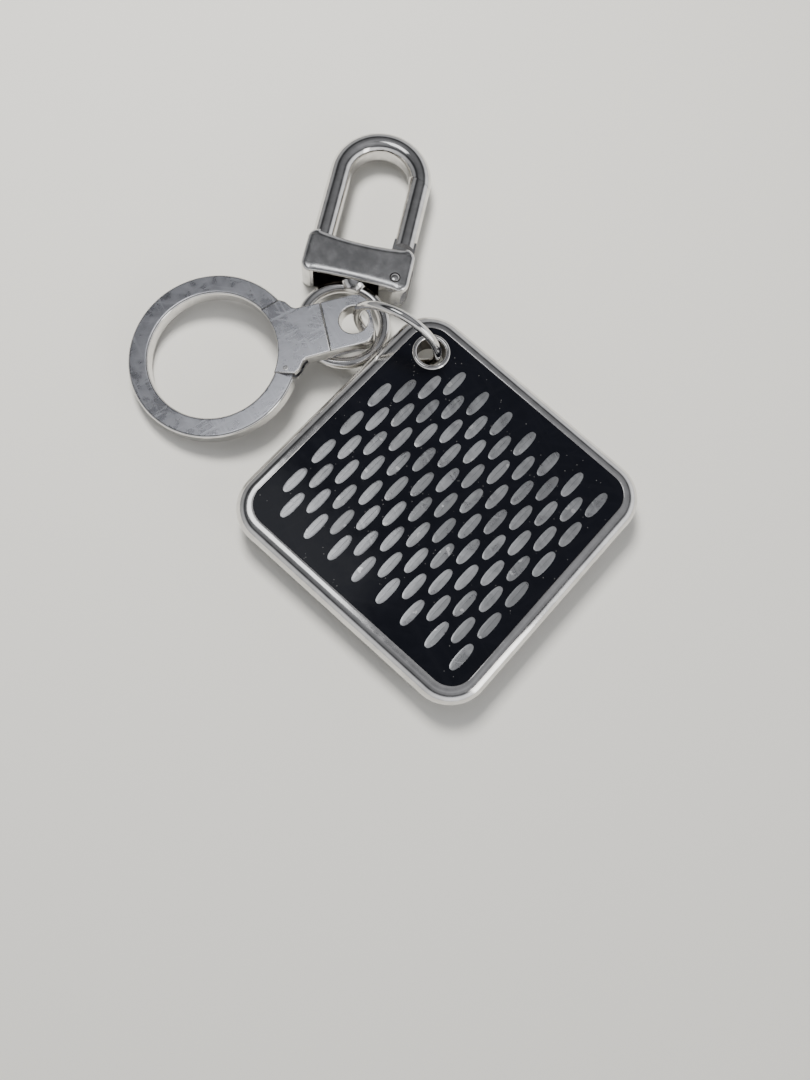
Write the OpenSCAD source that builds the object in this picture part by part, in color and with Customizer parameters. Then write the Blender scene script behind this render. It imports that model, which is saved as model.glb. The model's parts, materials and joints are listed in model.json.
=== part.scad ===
// Square tracker tag on a jump ring, with a hinged key ring and a swivel snap clasp.
// The tag lies face up on its back cover. The origin is the centre of the back cover's
// outer face, on the surface that everything lies on, and +Z is up.

/* [Tag] */
// Outside width of the square tag frame
tag_w = 48; // [44:0.5:60]
// Height of the tag frame from its back edge to its lip
frame_h = 4.4; // [4.2:0.1:5.6]
// How far the back cover stands out behind the frame
cover_proud = 2.4; // [2.4:0.1:3.4]
// Width of the rounded rim around the face panel
rim_w = 2.7; // [2.6:0.1:3.6]
// Outside corner radius of the frame
corner_r = 6.5; // [6:0.1:8]
// Thickness of the black face panel
panel_t = 0.7; // [0.5:0.05:0.9]
// Thickness of the metal plate that carries the oval inlays
plate_t = 0.5; // [0.4:0.05:0.6]

/* [Oval field] */
// Number of columns of ovals
oval_cols = 16; // [2:2:16]
// Spacing from one column to the next
oval_pitch_x = 2.44; // [2.2:0.02:2.6]
// Spacing of the ovals along a column
oval_pitch_y = 6.37; // [5.8:0.01:6.6]
// Length of one oval
oval_l = 5.2; // [3:0.1:5.4]
// Width of one oval
oval_w = 1.8; // [1:0.05:1.9]

/* [Eyelet and jump ring] */
// Distance of the eyelet's centre from each outside edge of the frame
eyelet_inset = 6.8; // [6.4:0.1:9]
// Radius of the hole through the eyelet
eyelet_r = 2.25; // [2.1:0.05:3]
// Mean radius of the jump ring
jump_r = 7.2; // [7.1:0.1:9]
// Wire diameter of the jump ring
jump_wire = 1.4; // [1.1:0.05:1.7]
// Direction in plan from the jump ring's centre to the eyelet, in degrees
jump_az = 14; // [8:1:24]

/* [Key ring] */
// Inside radius of the key ring
ring_r = 10.5; // [9:0.1:14]
// Width of the key ring's flat section
ring_w = 3.3; // [3:0.1:4.5]
// Thickness of the key ring, its bridge and its tail
ring_t = 2.8; // [2.6:0.1:3.6]
// Half width of the tail
tail_hw = 4.25; // [4:0.05:5.5]
// Radius of the hole in the tail
tail_hole_r = 2.35; // [2.2:0.05:2.6]
// Metal past the hole at the tail's end
tail_web = 0.6; // [0.5:0.1:2]
// How far the key ring swings open, in degrees
ring_open = 30; // [10:1:32]

/* [Swivel eye] */
// Mean radius of the eye
eye_r = 6.75; // [6.4:0.05:6.8]
// Wire diameter of the eye
eye_wire = 2; // [1.8:0.1:2.1]
// Radius of the swivel stem
stem_r = 1.3; // [1:0.05:1.5]

/* [Clasp] */
// Overall half width of the bail
bail_hw = 8.6; // [8.4:0.05:10]
// Width of the bail's bar
bail_w = 3.7; // [3.2:0.1:4.2]
// Thickness of the bail's bar
bail_t = 5; // [4.4:0.1:5.8]
// Length of the bail above the block
bail_l = 21.4; // [18:0.1:30]
// Thickness of the block
block_t = 6.3; // [6.2:0.1:6.8]
// Length of the block along the clasp
block_l = 7.9; // [7.6:0.1:9]
// How far the gate swings in, in degrees
gate_open = 16; // [8:1:16]

/* [Hidden] */
$fn = 64;
eps = 0.01;
fit = 0.05;             // running clearance on the radius of pins and shafts
seam = 0.06;            // gap between faces that meet but are separate pieces
rest_gap = 0.1;         // gap between links that lie on each other

// Tag heights
z_back = cover_proud;
z_top = cover_proud + frame_h;
z_mid = (z_back + z_top) / 2;
lip_drop = 0.1;         // the panel sits this far below the frame's lip
z_panel = z_top - lip_drop - panel_t;
z_plate = z_panel - plate_t;
floor_t = 1.2;
z_floor = z_back + floor_t;

// Tag plan sizes
half = tag_w / 2;
panel_half = half - rim_w;
ledge_w = 0.9;
wall_half = panel_half - ledge_w;
opening_r = 16.5;
cover_half = 18;
cover_corner = 12;
cover_wall = 0.9;
spigot_h = 0.9;
cavity_r = 15.4;
screw_at = 13.2;
screw_r = 0.7;
screw_head_r = 1.25;
oval_shift_y = -0.2;
inlay_gap = 0.02;
edge = 0.5;             // chamfer around the back cover and the block

// Eyelet
eyelet_wall = 0.5;
eyelet_x = -(half - eyelet_inset);
eyelet_y = half - eyelet_inset;
lip_r = 0.43;           // rounded lip on the face side
flare_r = 0.9;          // flared end on the back
eyelet_out = eyelet_r + eyelet_wall;
boss_r = 4;

// Jump ring: it stands upright on the surface, its plane along jump_az
wire_r = jump_wire / 2;
jump_z = jump_r + wire_r;
function jump_s(z) = sqrt(pow(jump_r, 2) - pow(jump_z - z, 2));
eyelet_s = jump_s(z_back + 1.5);
jump_side = -0.6;       // the wire passes this far beside the eyelet's centre
jump_x = eyelet_x - eyelet_s * cos(jump_az) - jump_side * sin(jump_az);
jump_y = eyelet_y - eyelet_s * sin(jump_az) + jump_side * cos(jump_az);

// Swivel eye: it lies level, and the jump ring passes up through it
eye_out = eye_r + eye_wire / 2;
eye_z = block_t / 2;
eye_back = 3.91;        // from the jump ring's wire to the eye's centre, in plan
eye_dir = 203.5;         // direction of that offset, in degrees
eye_x = jump_x - jump_s(eye_z) * cos(jump_az) + eye_back * cos(eye_dir);
eye_y = jump_y - jump_s(eye_z) * sin(jump_az) + eye_back * sin(eye_dir);
clasp_az = 119.5;

// Key ring: its far edge rests on the surface and its bridge rests on the eye
ring_az = 54.7;
ring_out = ring_r + ring_w;
neck_l = 4.7;           // the bridge, from the ring's outside to the seam
tail_l = 4.6;           // from the seam to the hole
reach = ring_out + neck_l + tail_l;
tail_z = 7.4;
seat = tail_hole_r - wire_r - 0.6;
seat_dir = 73;          // where the wire lies in the hole, from the tail's axis
hole_x = jump_x - jump_s(tail_z) * cos(jump_az) - seat * cos(ring_az + seat_dir);
hole_y = jump_y - jump_s(tail_z) * sin(jump_az) - seat * sin(ring_az + seat_dir);
crest = (eye_x - hole_x) * cos(ring_az) + (eye_y - hole_y) * sin(ring_az) - eye_r;
rest_h = eye_z + eye_wire / 2 + rest_gap;
tilt_guess = atan(rest_h / (crest + reach + ring_out));
tilt = atan(rest_h / (crest + (reach + ring_out) * cos(tilt_guess)));
ring_x = hole_x - reach * cos(tilt) * cos(ring_az);
ring_y = hole_y - reach * cos(tilt) * sin(ring_az);
ring_z = ring_out * sin(tilt);
joint_a = 29.3;         // half angle of the bridge at the middle of the section
joint_lean = 17;        // direction of the joint faces, from the ring's axis
ring_mid = ring_r + ring_w / 2;
chamfer = 0.45;
pin_a = 25.4;           // angle of the hinge pin, below the axis
pin_r = 0.5;
tongue_t = 1;
tongue_r = 1.2;
tail_round = 2.4;
dowel_r = 0.7;
dowel_l = 3.2;
neck_a = 27;            // where the neck leaves the ring's outside, from its axis
neck_in = 0.25;         // how far the bridge is narrower than its joint ends allow

// Clasp, measured along its axis from the eye's centre
stem_fit = stem_r + fit;
boss_end = eye_out + 1.5;
washer_t = 0.5;
web_x = boss_end + washer_t + 2 * fit;
block_hw = bail_hw + 0.35;
block_x = eye_out - 1.1;
block_top = block_x + block_l;
dish = 0.45;            // how far the block's front edge curves in
waist = 0.85;           // how far its bail side curves in
recess_t = 5;           // the recess that the swivel eye's hub turns in
recess_side = 4.3;
recess_w = 11;
bail_top = block_top + bail_l;
bail_mid = bail_hw - bail_w / 2;
bail_c = bail_top - bail_hw;
pivot_x = block_x + 2.1;
pivot_y = -bail_mid + 0.2;
rivet_r = 0.75;
knuckle_r = 1.85;
slot_t = 3.7;
gate_foot = 6.7;        // the gate's thick part starts this far from the rivet
seam_x = bail_c + 0.5;
seam_lean = -23;

// ---------------------------------------------------------------- helpers

// A square with round corners
module round_square(h, r) {
    union() {
        square([2 * (h - r), 2 * h], center = true);
        square([2 * h, 2 * (h - r)], center = true);
        for (x = [-1, 1], y = [-1, 1])
            translate([x * (h - r), y * (h - r)]) circle(r);
    }
}

// Carries a profile round a rounded square; the profile's x is the distance
// outward from the centre of the corner arcs
module round_square_sweep(h, r) {
    for (i = [0:3]) rotate(90 * i) {
        translate([h - r, h - r, 0]) rotate_extrude(angle = 90) children();
        translate([h - r, h - r, 0]) rotate([90, 0, 0])
            linear_extrude(2 * (h - r)) children();
    }
}

// A slot with round ends, its length along Y
module slot_shape(w, l) {
    union() {
        square([w, l - w], center = true);
        for (y = [-1, 1]) translate([0, y * (l - w) / 2]) circle(w / 2, $fn = 24);
    }
}

// A bar's cross-section with round corners
module bar_section(w, t, r) {
    union() {
        square([w - 2 * r, t], center = true);
        square([w, t - 2 * r], center = true);
        for (x = [-1, 1], y = [-1, 1])
            translate([x * (w / 2 - r), y * (t / 2 - r)]) circle(r, $fn = 32);
    }
}

// The staggered field of ovals, without the places next to the eyelet
module oval_field(grow) {
    for (col = [0 : oval_cols - 1])
        for (row = [0 : (col % 2 == 0 ? 4 : 5)]) {
            x = (col - (oval_cols - 1) / 2) * oval_pitch_x;
            y = (row - (col % 2 == 0 ? 2 : 2.5)) * oval_pitch_y + oval_shift_y;
            clear = norm([x - eyelet_x, y - eyelet_y]) > eyelet_r + oval_l / 2 + 0.7;
            if (clear) translate([x, y])
                slot_shape(oval_w + 2 * grow, oval_l + 2 * grow);
        }
}

module at_eyelet() { translate([eyelet_x, eyelet_y, 0]) children(); }

// The key ring's own frame: X from its centre to its tail, Z through it
module in_ring() {
    translate([ring_x, ring_y, ring_z]) rotate([0, -tilt, ring_az]) children();
}

// The clasp's own frame: X from the eye's centre to the bail, Z through it
module in_clasp() { translate([eye_x, eye_y, eye_z]) rotate(clasp_az) children(); }

// ---------------------------------------------------------------- tag

// The frame's rounded outside, its flat, and the ledge that carries the plate
module frame_profile() {
    inner = corner_r - rim_w - ledge_w;
    mid = corner_r - frame_h / 2;
    union() {
        intersection() {
            translate([mid, z_mid]) circle(frame_h / 2);
            translate([mid, z_back]) square([frame_h, frame_h]);
        }
        polygon([[inner, z_back], [mid, z_back], [mid, z_top], [corner_r - rim_w, z_top],
            [corner_r - rim_w, z_plate], [inner, z_plate]]);
    }
}

module tag_frame() {
    color("silver") difference() {
        union() {
            round_square_sweep(half, corner_r) frame_profile();
            translate([0, 0, z_back]) linear_extrude(floor_t)
                round_square(wall_half, corner_r - rim_w - ledge_w);
            at_eyelet() translate([0, 0, z_back]) cylinder(r = boss_r, h = z_plate - z_back);
        }
        translate([0, 0, z_back - 1]) cylinder(r = opening_r, h = floor_t + 2);
        at_eyelet() {
            translate([0, 0, z_back - 1]) cylinder(r = eyelet_out, h = frame_h + 2);
            translate([0, 0, z_back - eps])
                cylinder(r = eyelet_r + flare_r + 0.3, h = flare_r);
        }
        for (i = [0:3]) rotate(90 * i) translate([screw_at, screw_at, z_back - 1])
            cylinder(r = screw_r, h = floor_t + 2);
    }
}

module face_panel() {
    color("black") translate([0, 0, z_panel]) linear_extrude(panel_t) difference() {
        round_square(panel_half - fit, corner_r - rim_w - fit);
        oval_field(inlay_gap);
        translate([eyelet_x, eyelet_y]) circle(eyelet_out + inlay_gap);
    }
}

module inlay_plate() {
    color("gainsboro") difference() {
        union() {
            translate([0, 0, z_plate]) linear_extrude(plate_t)
                round_square(panel_half - fit, corner_r - rim_w - fit);
            translate([0, 0, z_plate]) linear_extrude(plate_t + panel_t) oval_field(0);
        }
        at_eyelet() translate([0, 0, z_plate - 1])
            cylinder(r = eyelet_out + inlay_gap, h = frame_h);
    }
}

// A rolled grommet: a rounded lip on the face, a flared end on the back
module eyelet() {
    lip_x = eyelet_r + lip_r;
    color("silver") at_eyelet() rotate_extrude() difference() {
        union() {
            translate([eyelet_r, z_back]) square([eyelet_wall, frame_h - lip_drop]);
            translate([eyelet_r, z_back]) square([flare_r + 0.3, flare_r - eps]);
            translate([lip_x, z_top - lip_drop]) circle(lip_r);
        }
        translate([lip_x, z_top - lip_drop - 2 * lip_r]) square([1, 2 * lip_r]);
        translate([eyelet_out, z_panel]) square([1, panel_t]);
        difference() {
            translate([eyelet_r - eps, z_back - eps]) square(flare_r + eps);
            translate([eyelet_r + flare_r, z_back + flare_r]) circle(flare_r);
        }
    }
}

module cover_profile() {
    polygon([[cover_corner - 3, 0], [cover_corner - edge, 0], [cover_corner, edge],
        [cover_corner, z_back], [cover_corner - 3, z_back]]);
}

module back_cover() {
    color("dimgray") difference() {
        union() {
            round_square_sweep(cover_half, cover_corner) cover_profile();
            linear_extrude(z_back) round_square(cover_half - 2.5, cover_corner - 2.5);
            cylinder(r = opening_r - fit, h = z_back + spigot_h);
        }
        translate([0, 0, cover_wall]) cylinder(r = cavity_r, h = z_back + spigot_h);
        for (i = [0:3]) rotate(90 * i) translate([screw_at, screw_at, 0]) {
            translate([0, 0, -1]) cylinder(r = screw_r + fit, h = z_back + 2);
            translate([0, 0, -eps]) cylinder(r = screw_head_r + fit, h = 1);
        }
        gasket_ring(0);
    }
}

module gasket_ring(gap) {
    translate([0, 0, z_back - 0.5]) rotate_extrude()
        translate([16.75 + gap, gap]) square([0.7 - 2 * gap, 0.6 - gap - 0.1 * sign(gap)]);
}

module cover_gasket() { color("darkred") gasket_ring(0.02); }

module cover_screws() {
    color("silver") for (i = [0:3]) rotate(90 * i) translate([screw_at, screw_at, 0])
        difference() {
            union() {
                translate([0, 0, 0.25]) cylinder(r = screw_head_r, h = 0.75 - eps);
                translate([0, 0, 0.25]) cylinder(r = screw_r, h = z_floor - 0.3);
            }
            for (a = [0, 90]) rotate(a)
                translate([-0.6, -0.12, 0]) cube([1.2, 0.24, 0.55]);
        }
}

// ---------------------------------------------------------------- inside the tag

board_t = 0.6;
z_board = z_floor;
cell_r = 10;
cell_t = 1.6;
z_cell = cover_wall + 0.65;
carrier_r = cavity_r - 0.2;

module circuit_board() {
    color("darkgreen") translate([0, 0, z_board]) linear_extrude(board_t) difference() {
        round_square(wall_half - 0.2, corner_r - rim_w - ledge_w - 0.2);
        translate([eyelet_x, eyelet_y]) circle(boss_r + 0.2);
        for (i = [0:3]) rotate(90 * i) translate([screw_at, screw_at]) circle(screw_r + 0.3);
    }
}

module radio_shield() {
    color("lightsteelblue") translate([3, -8, z_board + board_t]) difference() {
        cube([10, 8, 1]);
        translate([0.2, 0.2, -eps]) cube([9.6, 7.6, 0.8]);
    }
}

module board_chips() {
    z = z_board + board_t;
    color("dimgray") {
        translate([4.5, -6.5, z]) cube([4, 4, 0.6]);
        translate([9.5, -5.5, z]) cube([1.6, 1.2, 0.5]);
        translate([-8, -6, z]) cube([3, 3, 0.7]);
        translate([-12, 2, z]) cube([2, 2.4, 0.6]);
        for (i = [0:4]) translate([-2, -9 + 2 * i, z]) cube([1, 0.5, 0.4]);
        for (i = [0:3]) translate([6 + 2 * i, 4, z]) cube([0.5, 1, 0.4]);
    }
}

module battery_carrier() {
    color("white") difference() {
        rotate_extrude() polygon([[cell_r - 1.4, cover_wall], [carrier_r, cover_wall],
            [carrier_r, z_board - 0.1], [cell_r + 0.15, z_board - 0.1],
            [cell_r + 0.15, z_cell], [cell_r - 1.4, z_cell]]);
        translate([cell_r - 0.5, -2.2, z_cell]) cube([1.2, 4.4, cell_t + 1]);
    }
}

module coin_cell() {
    color("lightgray") rotate_extrude() polygon([[0, z_cell], [cell_r, z_cell],
        [cell_r, z_cell + cell_t - 0.2], [cell_r - 1.2, z_cell + cell_t - 0.2],
        [cell_r - 1.2, z_cell + cell_t], [0, z_cell + cell_t]]);
}

module contact_positive() {
    color("gold") translate([cell_r, -2, 0]) union() {
        translate([0, 0, z_cell + 0.05]) cube([0.2, 4, z_board - z_cell - 0.05]);
        translate([-0.3, 0, z_board - 0.15]) cube([0.5, 4, 0.15]);
    }
}

module contact_negative() {
    color("gold") translate([-4, -1.5, 0]) union() {
        translate([0, 0, z_board - 0.15]) cube([8, 3, 0.15]);
        translate([3, 0, z_cell + cell_t]) cube([2, 3, z_board - z_cell - cell_t]);
    }
}

module antenna() {
    color("goldenrod") translate([0, 0, z_board - 0.1]) rotate(30)
        rotate_extrude(angle = 280) translate([carrier_r - 1.4, 0]) square([0.9, 0.1]);
}

module sounder_disc() {
    color("gold") translate([0, 0, cover_wall]) cylinder(r = 7.5, h = 0.2);
}

module sounder_crystal() {
    color("ivory") translate([0, 0, cover_wall + 0.2]) cylinder(r = 5, h = 0.15);
}

// ---------------------------------------------------------------- jump ring

module jump_ring() {
    color("silver") translate([jump_x, jump_y, jump_z]) rotate([90, 0, jump_az])
        rotate_extrude() translate([jump_r, 0]) circle(wire_r);
}

// ---------------------------------------------------------------- key ring

// Everything past a joint face: side 1 is the upper joint, -1 the hinge joint.
// gap moves the face away from the bridge.
module past_joint(side, gap) {
    x = ring_mid * cos(joint_a);
    y = ring_mid * sin(joint_a);
    translate([x, side * y]) rotate(side * joint_lean)
        translate([-40, side > 0 ? gap : -60 - gap]) square([80, 60]);
}

pin_x = ring_mid * cos(pin_a);
pin_y = -ring_mid * sin(pin_a);

// What is left of the ring's plan once the bridge's place is cut out
module ring_arc_keep() {
    difference() {
        circle(ring_out + 1);
        difference() {
            translate([0, -ring_out]) square([2 * ring_out, 2 * ring_out]);
            past_joint(1, seam);
            past_joint(-1, seam);
        }
        // relief that lets the hinged end turn inward
        translate([pin_x, pin_y]) rotate(-ring_open - 2) translate([-pin_x, -pin_y])
            intersection() {
                difference() {
                    circle(ring_out + 3);
                    past_joint(-1, seam);
                }
                translate([pin_x - 4, pin_y - 4]) square(8);
            }
    }
}

module ring_section() {
    c = chamfer;
    polygon([[ring_r + c, 0], [ring_out - c, 0], [ring_out, c], [ring_out, ring_t - c],
        [ring_out - c, ring_t], [ring_r + c, ring_t], [ring_r, ring_t - c], [ring_r, c]]);
}

// The hinge tongue on the ring's lower end
module tongue_plan() {
    union() {
        translate([pin_x, pin_y]) circle(tongue_r);
        translate([pin_x, pin_y]) rotate(-joint_a - 3)
            translate([-tongue_r, -3]) square([2 * tongue_r, 3]);
    }
}

module key_ring() {
    color("silver") in_ring() difference() {
        union() {
            intersection() {
                rotate_extrude($fn = 128) ring_section();
                translate([0, 0, -1]) linear_extrude(ring_t + 2) ring_arc_keep();
            }
            translate([0, 0, (ring_t - tongue_t) / 2]) linear_extrude(tongue_t)
                intersection() {
                    tongue_plan();
                    difference() {
                        circle(ring_out - chamfer);
                        circle(ring_r + chamfer);
                    }
                }
        }
        translate([pin_x, pin_y, -1]) cylinder(r = pin_r + fit, h = ring_t + 2, $fn = 32);
    }
}

// The arc of the bridge that closes the ring, between the two joint faces
module bridge_arc() {
    difference() {
        cylinder(r = ring_out, h = ring_t, $fn = 128);
        translate([0, 0, -1]) linear_extrude(ring_t + 2) past_joint(1, 0);
        translate([0, 0, -1]) linear_extrude(ring_t + 2) past_joint(-1, 0);
        translate([-2 * ring_out, -ring_out, -1])
            cube([2 * ring_out, 2 * ring_out, ring_t + 2]);
    }
}

// The neck, which narrows from the arc to the width of the tail
module neck_half(side) {
    polygon([[ring_r - 1, 0], [ring_r - 1, side * tail_hw],
        [ring_out * cos(neck_a) - 0.1, side * ring_out * sin(neck_a)],
        [ring_out * cos(neck_a) + 0.8, side * (ring_out * sin(neck_a) - 0.4)],
        [ring_out + 0.1, side * (tail_hw + neck_in + 0.2)],
        [ring_out + 0.7, side * (tail_hw + 0.1)],
        [ring_out + neck_l - seam, side * tail_hw], [ring_out + neck_l - seam, 0]]);
}

module ring_bridge() {
    color("silver") in_ring() difference() {
        union() {
            bridge_arc();
            linear_extrude(ring_t) neck_half(1);
            linear_extrude(ring_t) neck_half(-1);
        }
        translate([0, 0, -1]) cylinder(r = ring_r, h = ring_t + 2, $fn = 128);
        // slot for the hinge tongue
        translate([0, 0, (ring_t - tongue_t) / 2 - 0.03]) linear_extrude(tongue_t + 0.06)
            translate([pin_x, pin_y]) rotate(-joint_lean)
                translate([-6, -6]) square([12, 6 + tongue_r + 0.15]);
        translate([pin_x, pin_y, -1]) cylinder(r = pin_r, h = ring_t + 2, $fn = 32);
        dowel(fit);
    }
}

module ring_tail() {
    start = ring_out + neck_l;
    end = reach + tail_hole_r + tail_web;
    color("silver") in_ring() difference() {
        linear_extrude(ring_t) difference() {
            union() {
                translate([start, -tail_hw])
                    square([end - tail_round - start, 2 * tail_hw]);
                translate([start, -tail_hw + tail_round])
                    square([end - start, 2 * (tail_hw - tail_round)]);
                for (y = [-1, 1])
                    translate([end - tail_round, y * (tail_hw - tail_round)]) circle(tail_round);
            }
            translate([reach, 0]) circle(tail_hole_r);
        }
        dowel(fit);
    }
}

module dowel(gap) {
    translate([ring_out + neck_l - dowel_l / 2 - gap, 0, ring_t / 2]) rotate([0, 90, 0])
        cylinder(r = dowel_r + gap, h = dowel_l + 2 * gap, $fn = 32);
}

module ring_hinge_pin() {
    color("silver") in_ring() translate([pin_x, pin_y, 0])
        cylinder(r = pin_r, h = ring_t, $fn = 32);
}

module tail_dowel() { color("silver") in_ring() dowel(0); }

// ---------------------------------------------------------------- clasp

module block_plan(inset) {
    r = 1.8 - inset;
    l = block_l - 2 * inset;
    bend = pow(block_hw, 2) / (2 * dish);
    waist_bend = pow(block_hw, 2) / (2 * waist);
    difference() {
        union() {
            translate([block_x + inset, -block_hw + inset + r])
                square([l, 2 * (block_hw - inset - r)]);
            translate([block_x + inset + r, -block_hw + inset])
                square([l - 2 * r, 2 * (block_hw - inset)]);
            for (x = [block_x + inset + r, block_top - inset - r], y = [-1, 1])
                translate([x, y * (block_hw - inset - r)]) circle(r);
        }
        translate([block_top - inset - waist + waist_bend, 0]) circle(waist_bend, $fn = 256);
        translate([block_x + inset + dish - bend, 0]) circle(bend, $fn = 256);
    }
}

module bail() {
    leg = bail_c - block_top + 2;
    rotate([0, 90, 0]) translate([0, bail_mid, bail_c - leg])
        linear_extrude(leg) bar_section(bail_t, bail_w, 1.6);
    translate([bail_c, 0, 0]) rotate(-90) rotate_extrude(angle = 180, $fn = 96)
        translate([bail_mid, 0]) bar_section(bail_w, bail_t, 1.6);
    rotate([0, 90, 0]) translate([0, -bail_mid, bail_c - 3])
        linear_extrude(3) bar_section(bail_t, bail_w, 1.6);
}

// The side of the slanted seam that belongs to the gate
module gate_side(gap) {
    translate([seam_x - gap, -bail_mid]) rotate(seam_lean)
        translate([-40, -6]) square([40, 12]);
}

module gate_slot() {
    reach_in = knuckle_r + 0.15;
    translate([pivot_x, pivot_y]) {
        circle(reach_in);
        for (a = [0, gate_open / 2, gate_open]) rotate(a)
            translate([-0.15, -4])
                square([block_l + 0.15, 4 + bail_mid - bail_hw + bail_w - 0.1]);
    }
}

module clasp_body() {
    color("silver") in_clasp() difference() {
        union() {
            difference() {
                bail();
                translate([0, 0, -bail_t]) linear_extrude(2 * bail_t) intersection() {
                    gate_side(0);
                    translate([0, -20]) square([60, 20]);
                }
            }
            translate([0, 0, -block_t / 2 + edge]) linear_extrude(block_t - 2 * edge)
                block_plan(0);
            translate([0, 0, -block_t / 2]) linear_extrude(block_t) block_plan(edge);
        }
        // recess that takes the swivel eye's hub
        translate([block_x - 1, -recess_side, -recess_t / 2])
            cube([web_x - block_x + 1, recess_w, recess_t]);
        // clearance for the eye's wire as it turns
        sphere(r = eye_out + 2 * fit, $fn = 96);
        translate([web_x - 1, 0, 0]) rotate([0, 90, 0])
            cylinder(r = stem_fit, h = block_l + 2);
        translate([block_top - waist - 0.35, 0, 0]) rotate([0, 90, 0])
            cylinder(r = stem_r + 0.6, h = 2);
        // slot for the gate, open at the side
        translate([0, 0, -slot_t / 2]) linear_extrude(slot_t) gate_slot();
        translate([pivot_x, pivot_y, -block_t]) cylinder(r = rivet_r, h = 2 * block_t);
    }
}

module clasp_gate() {
    arm_t = slot_t - 0.1;
    inner = -bail_hw + bail_w;
    color("silver") in_clasp() difference() {
        union() {
            intersection() {
                rotate([0, 90, 0]) translate([0, -bail_mid, 0])
                    linear_extrude(bail_c + 4) bar_section(bail_t, bail_w, 1.6);
                translate([0, 0, -bail_t]) linear_extrude(2 * bail_t) difference() {
                    gate_side(seam);
                    translate([pivot_x, pivot_y]) circle(gate_foot);
                }
            }
            translate([0, 0, -arm_t / 2]) linear_extrude(arm_t) union() {
                translate([pivot_x, pivot_y]) circle(knuckle_r);
                translate([pivot_x, -bail_hw]) square([gate_foot + 1, bail_w]);
            }
        }
        translate([pivot_x, pivot_y, -block_t])
            cylinder(r = rivet_r + fit, h = 2 * block_t);
        translate([pivot_x, pivot_y, -0.7]) cylinder(r = knuckle_r + 0.3, h = 1.4);
    }
}

module gate_rivet() {
    color("silver") in_clasp() translate([pivot_x, pivot_y, -block_t / 2])
        cylinder(r = rivet_r, h = block_t);
}

// One turn after another of a coil, as a swept tube
coil_turns = 3;
coil_r = 1.15;
coil_wire = 0.3;
coil_sides = 8;
coil_rings = 60;
function coil_point(i, j) =
    let (a = 360 * coil_turns * i / coil_rings, b = 360 * j / coil_sides)
    [(coil_r + coil_wire / 2 * cos(b)) * cos(a), (coil_r + coil_wire / 2 * cos(b)) * sin(a),
        coil_wire / 2 * sin(b) + 0.35 * coil_turns * (i / coil_rings - 0.5)];

module gate_spring() {
    points = [for (i = [0 : coil_rings], j = [0 : coil_sides - 1]) coil_point(i, j)];
    walls = [for (i = [0 : coil_rings - 1], j = [0 : coil_sides - 1])
        let (k = (j + 1) % coil_sides, a = i * coil_sides, b = a + coil_sides)
        [a + j, b + j, b + k, a + k]];
    first = [for (j = [0 : coil_sides - 1]) j];
    last = [for (j = [coil_sides - 1 : -1 : 0]) coil_rings * coil_sides + j];
    color("gray") in_clasp() translate([pivot_x, pivot_y, 0])
        polyhedron(points = points, faces = concat(walls, [first, last]));
}

module swivel_eye() {
    color("silver") in_clasp() union() {
        rotate_extrude($fn = 96) translate([eye_r, 0]) circle(eye_wire / 2);
        rotate([0, 90, 0]) {
            translate([0, 0, eye_r - 1.2]) cylinder(r = 2.3, h = boss_end - eye_r + 1.2);
            translate([0, 0, eye_r]) cylinder(r = stem_r, h = block_top - waist - eye_r);
            translate([0, 0, block_top - waist - 0.3]) cylinder(r = stem_r + 0.45, h = 0.6);
        }
    }
}

module swivel_washer() {
    color("gold") in_clasp() translate([boss_end + fit, 0, 0]) rotate([0, 90, 0])
        difference() {
            cylinder(r = 2.2, h = washer_t);
            translate([0, 0, -1]) cylinder(r = stem_r + fit, h = washer_t + 2);
        }
}

tag_frame();
face_panel();
inlay_plate();
eyelet();
back_cover();
cover_gasket();
cover_screws();
circuit_board();
radio_shield();
board_chips();
battery_carrier();
coin_cell();
contact_positive();
contact_negative();
antenna();
sounder_disc();
sounder_crystal();
jump_ring();
key_ring();
ring_bridge();
ring_tail();
ring_hinge_pin();
tail_dowel();
clasp_body();
clasp_gate();
gate_rivet();
gate_spring();
swivel_eye();
swivel_washer();
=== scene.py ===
import json
import logging
import math
from dataclasses import dataclass, field
from enum import Enum
from typing import Any, Sequence

import bpy
import numpy as np
from mathutils import Matrix, Vector
from mathutils.geometry import tessellate_polygon


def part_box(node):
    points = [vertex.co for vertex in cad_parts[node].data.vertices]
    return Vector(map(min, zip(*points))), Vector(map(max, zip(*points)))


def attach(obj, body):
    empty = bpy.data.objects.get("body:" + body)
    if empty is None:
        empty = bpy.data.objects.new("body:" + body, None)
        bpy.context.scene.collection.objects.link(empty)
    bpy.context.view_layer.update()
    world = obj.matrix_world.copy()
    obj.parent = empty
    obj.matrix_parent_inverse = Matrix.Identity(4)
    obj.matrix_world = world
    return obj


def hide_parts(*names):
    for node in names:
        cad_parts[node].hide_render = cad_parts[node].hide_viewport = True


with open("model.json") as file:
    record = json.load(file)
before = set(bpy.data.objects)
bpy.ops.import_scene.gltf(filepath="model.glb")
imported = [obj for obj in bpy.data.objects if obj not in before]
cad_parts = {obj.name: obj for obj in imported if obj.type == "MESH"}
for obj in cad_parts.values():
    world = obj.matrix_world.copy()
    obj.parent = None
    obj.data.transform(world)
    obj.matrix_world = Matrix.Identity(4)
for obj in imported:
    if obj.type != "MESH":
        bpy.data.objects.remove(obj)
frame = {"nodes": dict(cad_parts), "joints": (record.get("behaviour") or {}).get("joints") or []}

LOG = logging.getLogger("tracker_tag")
MM = 0.001
SUPPORT = 0.04  # strip beside a rounded edge that keeps a flat face's shading flat


# ---------------------------------------------------------------- arrays and meshes


class Side(Enum):
    """The two sides of the key ring's bridge and of the clasp."""

    UPPER = 1
    LOWER = -1


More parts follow.
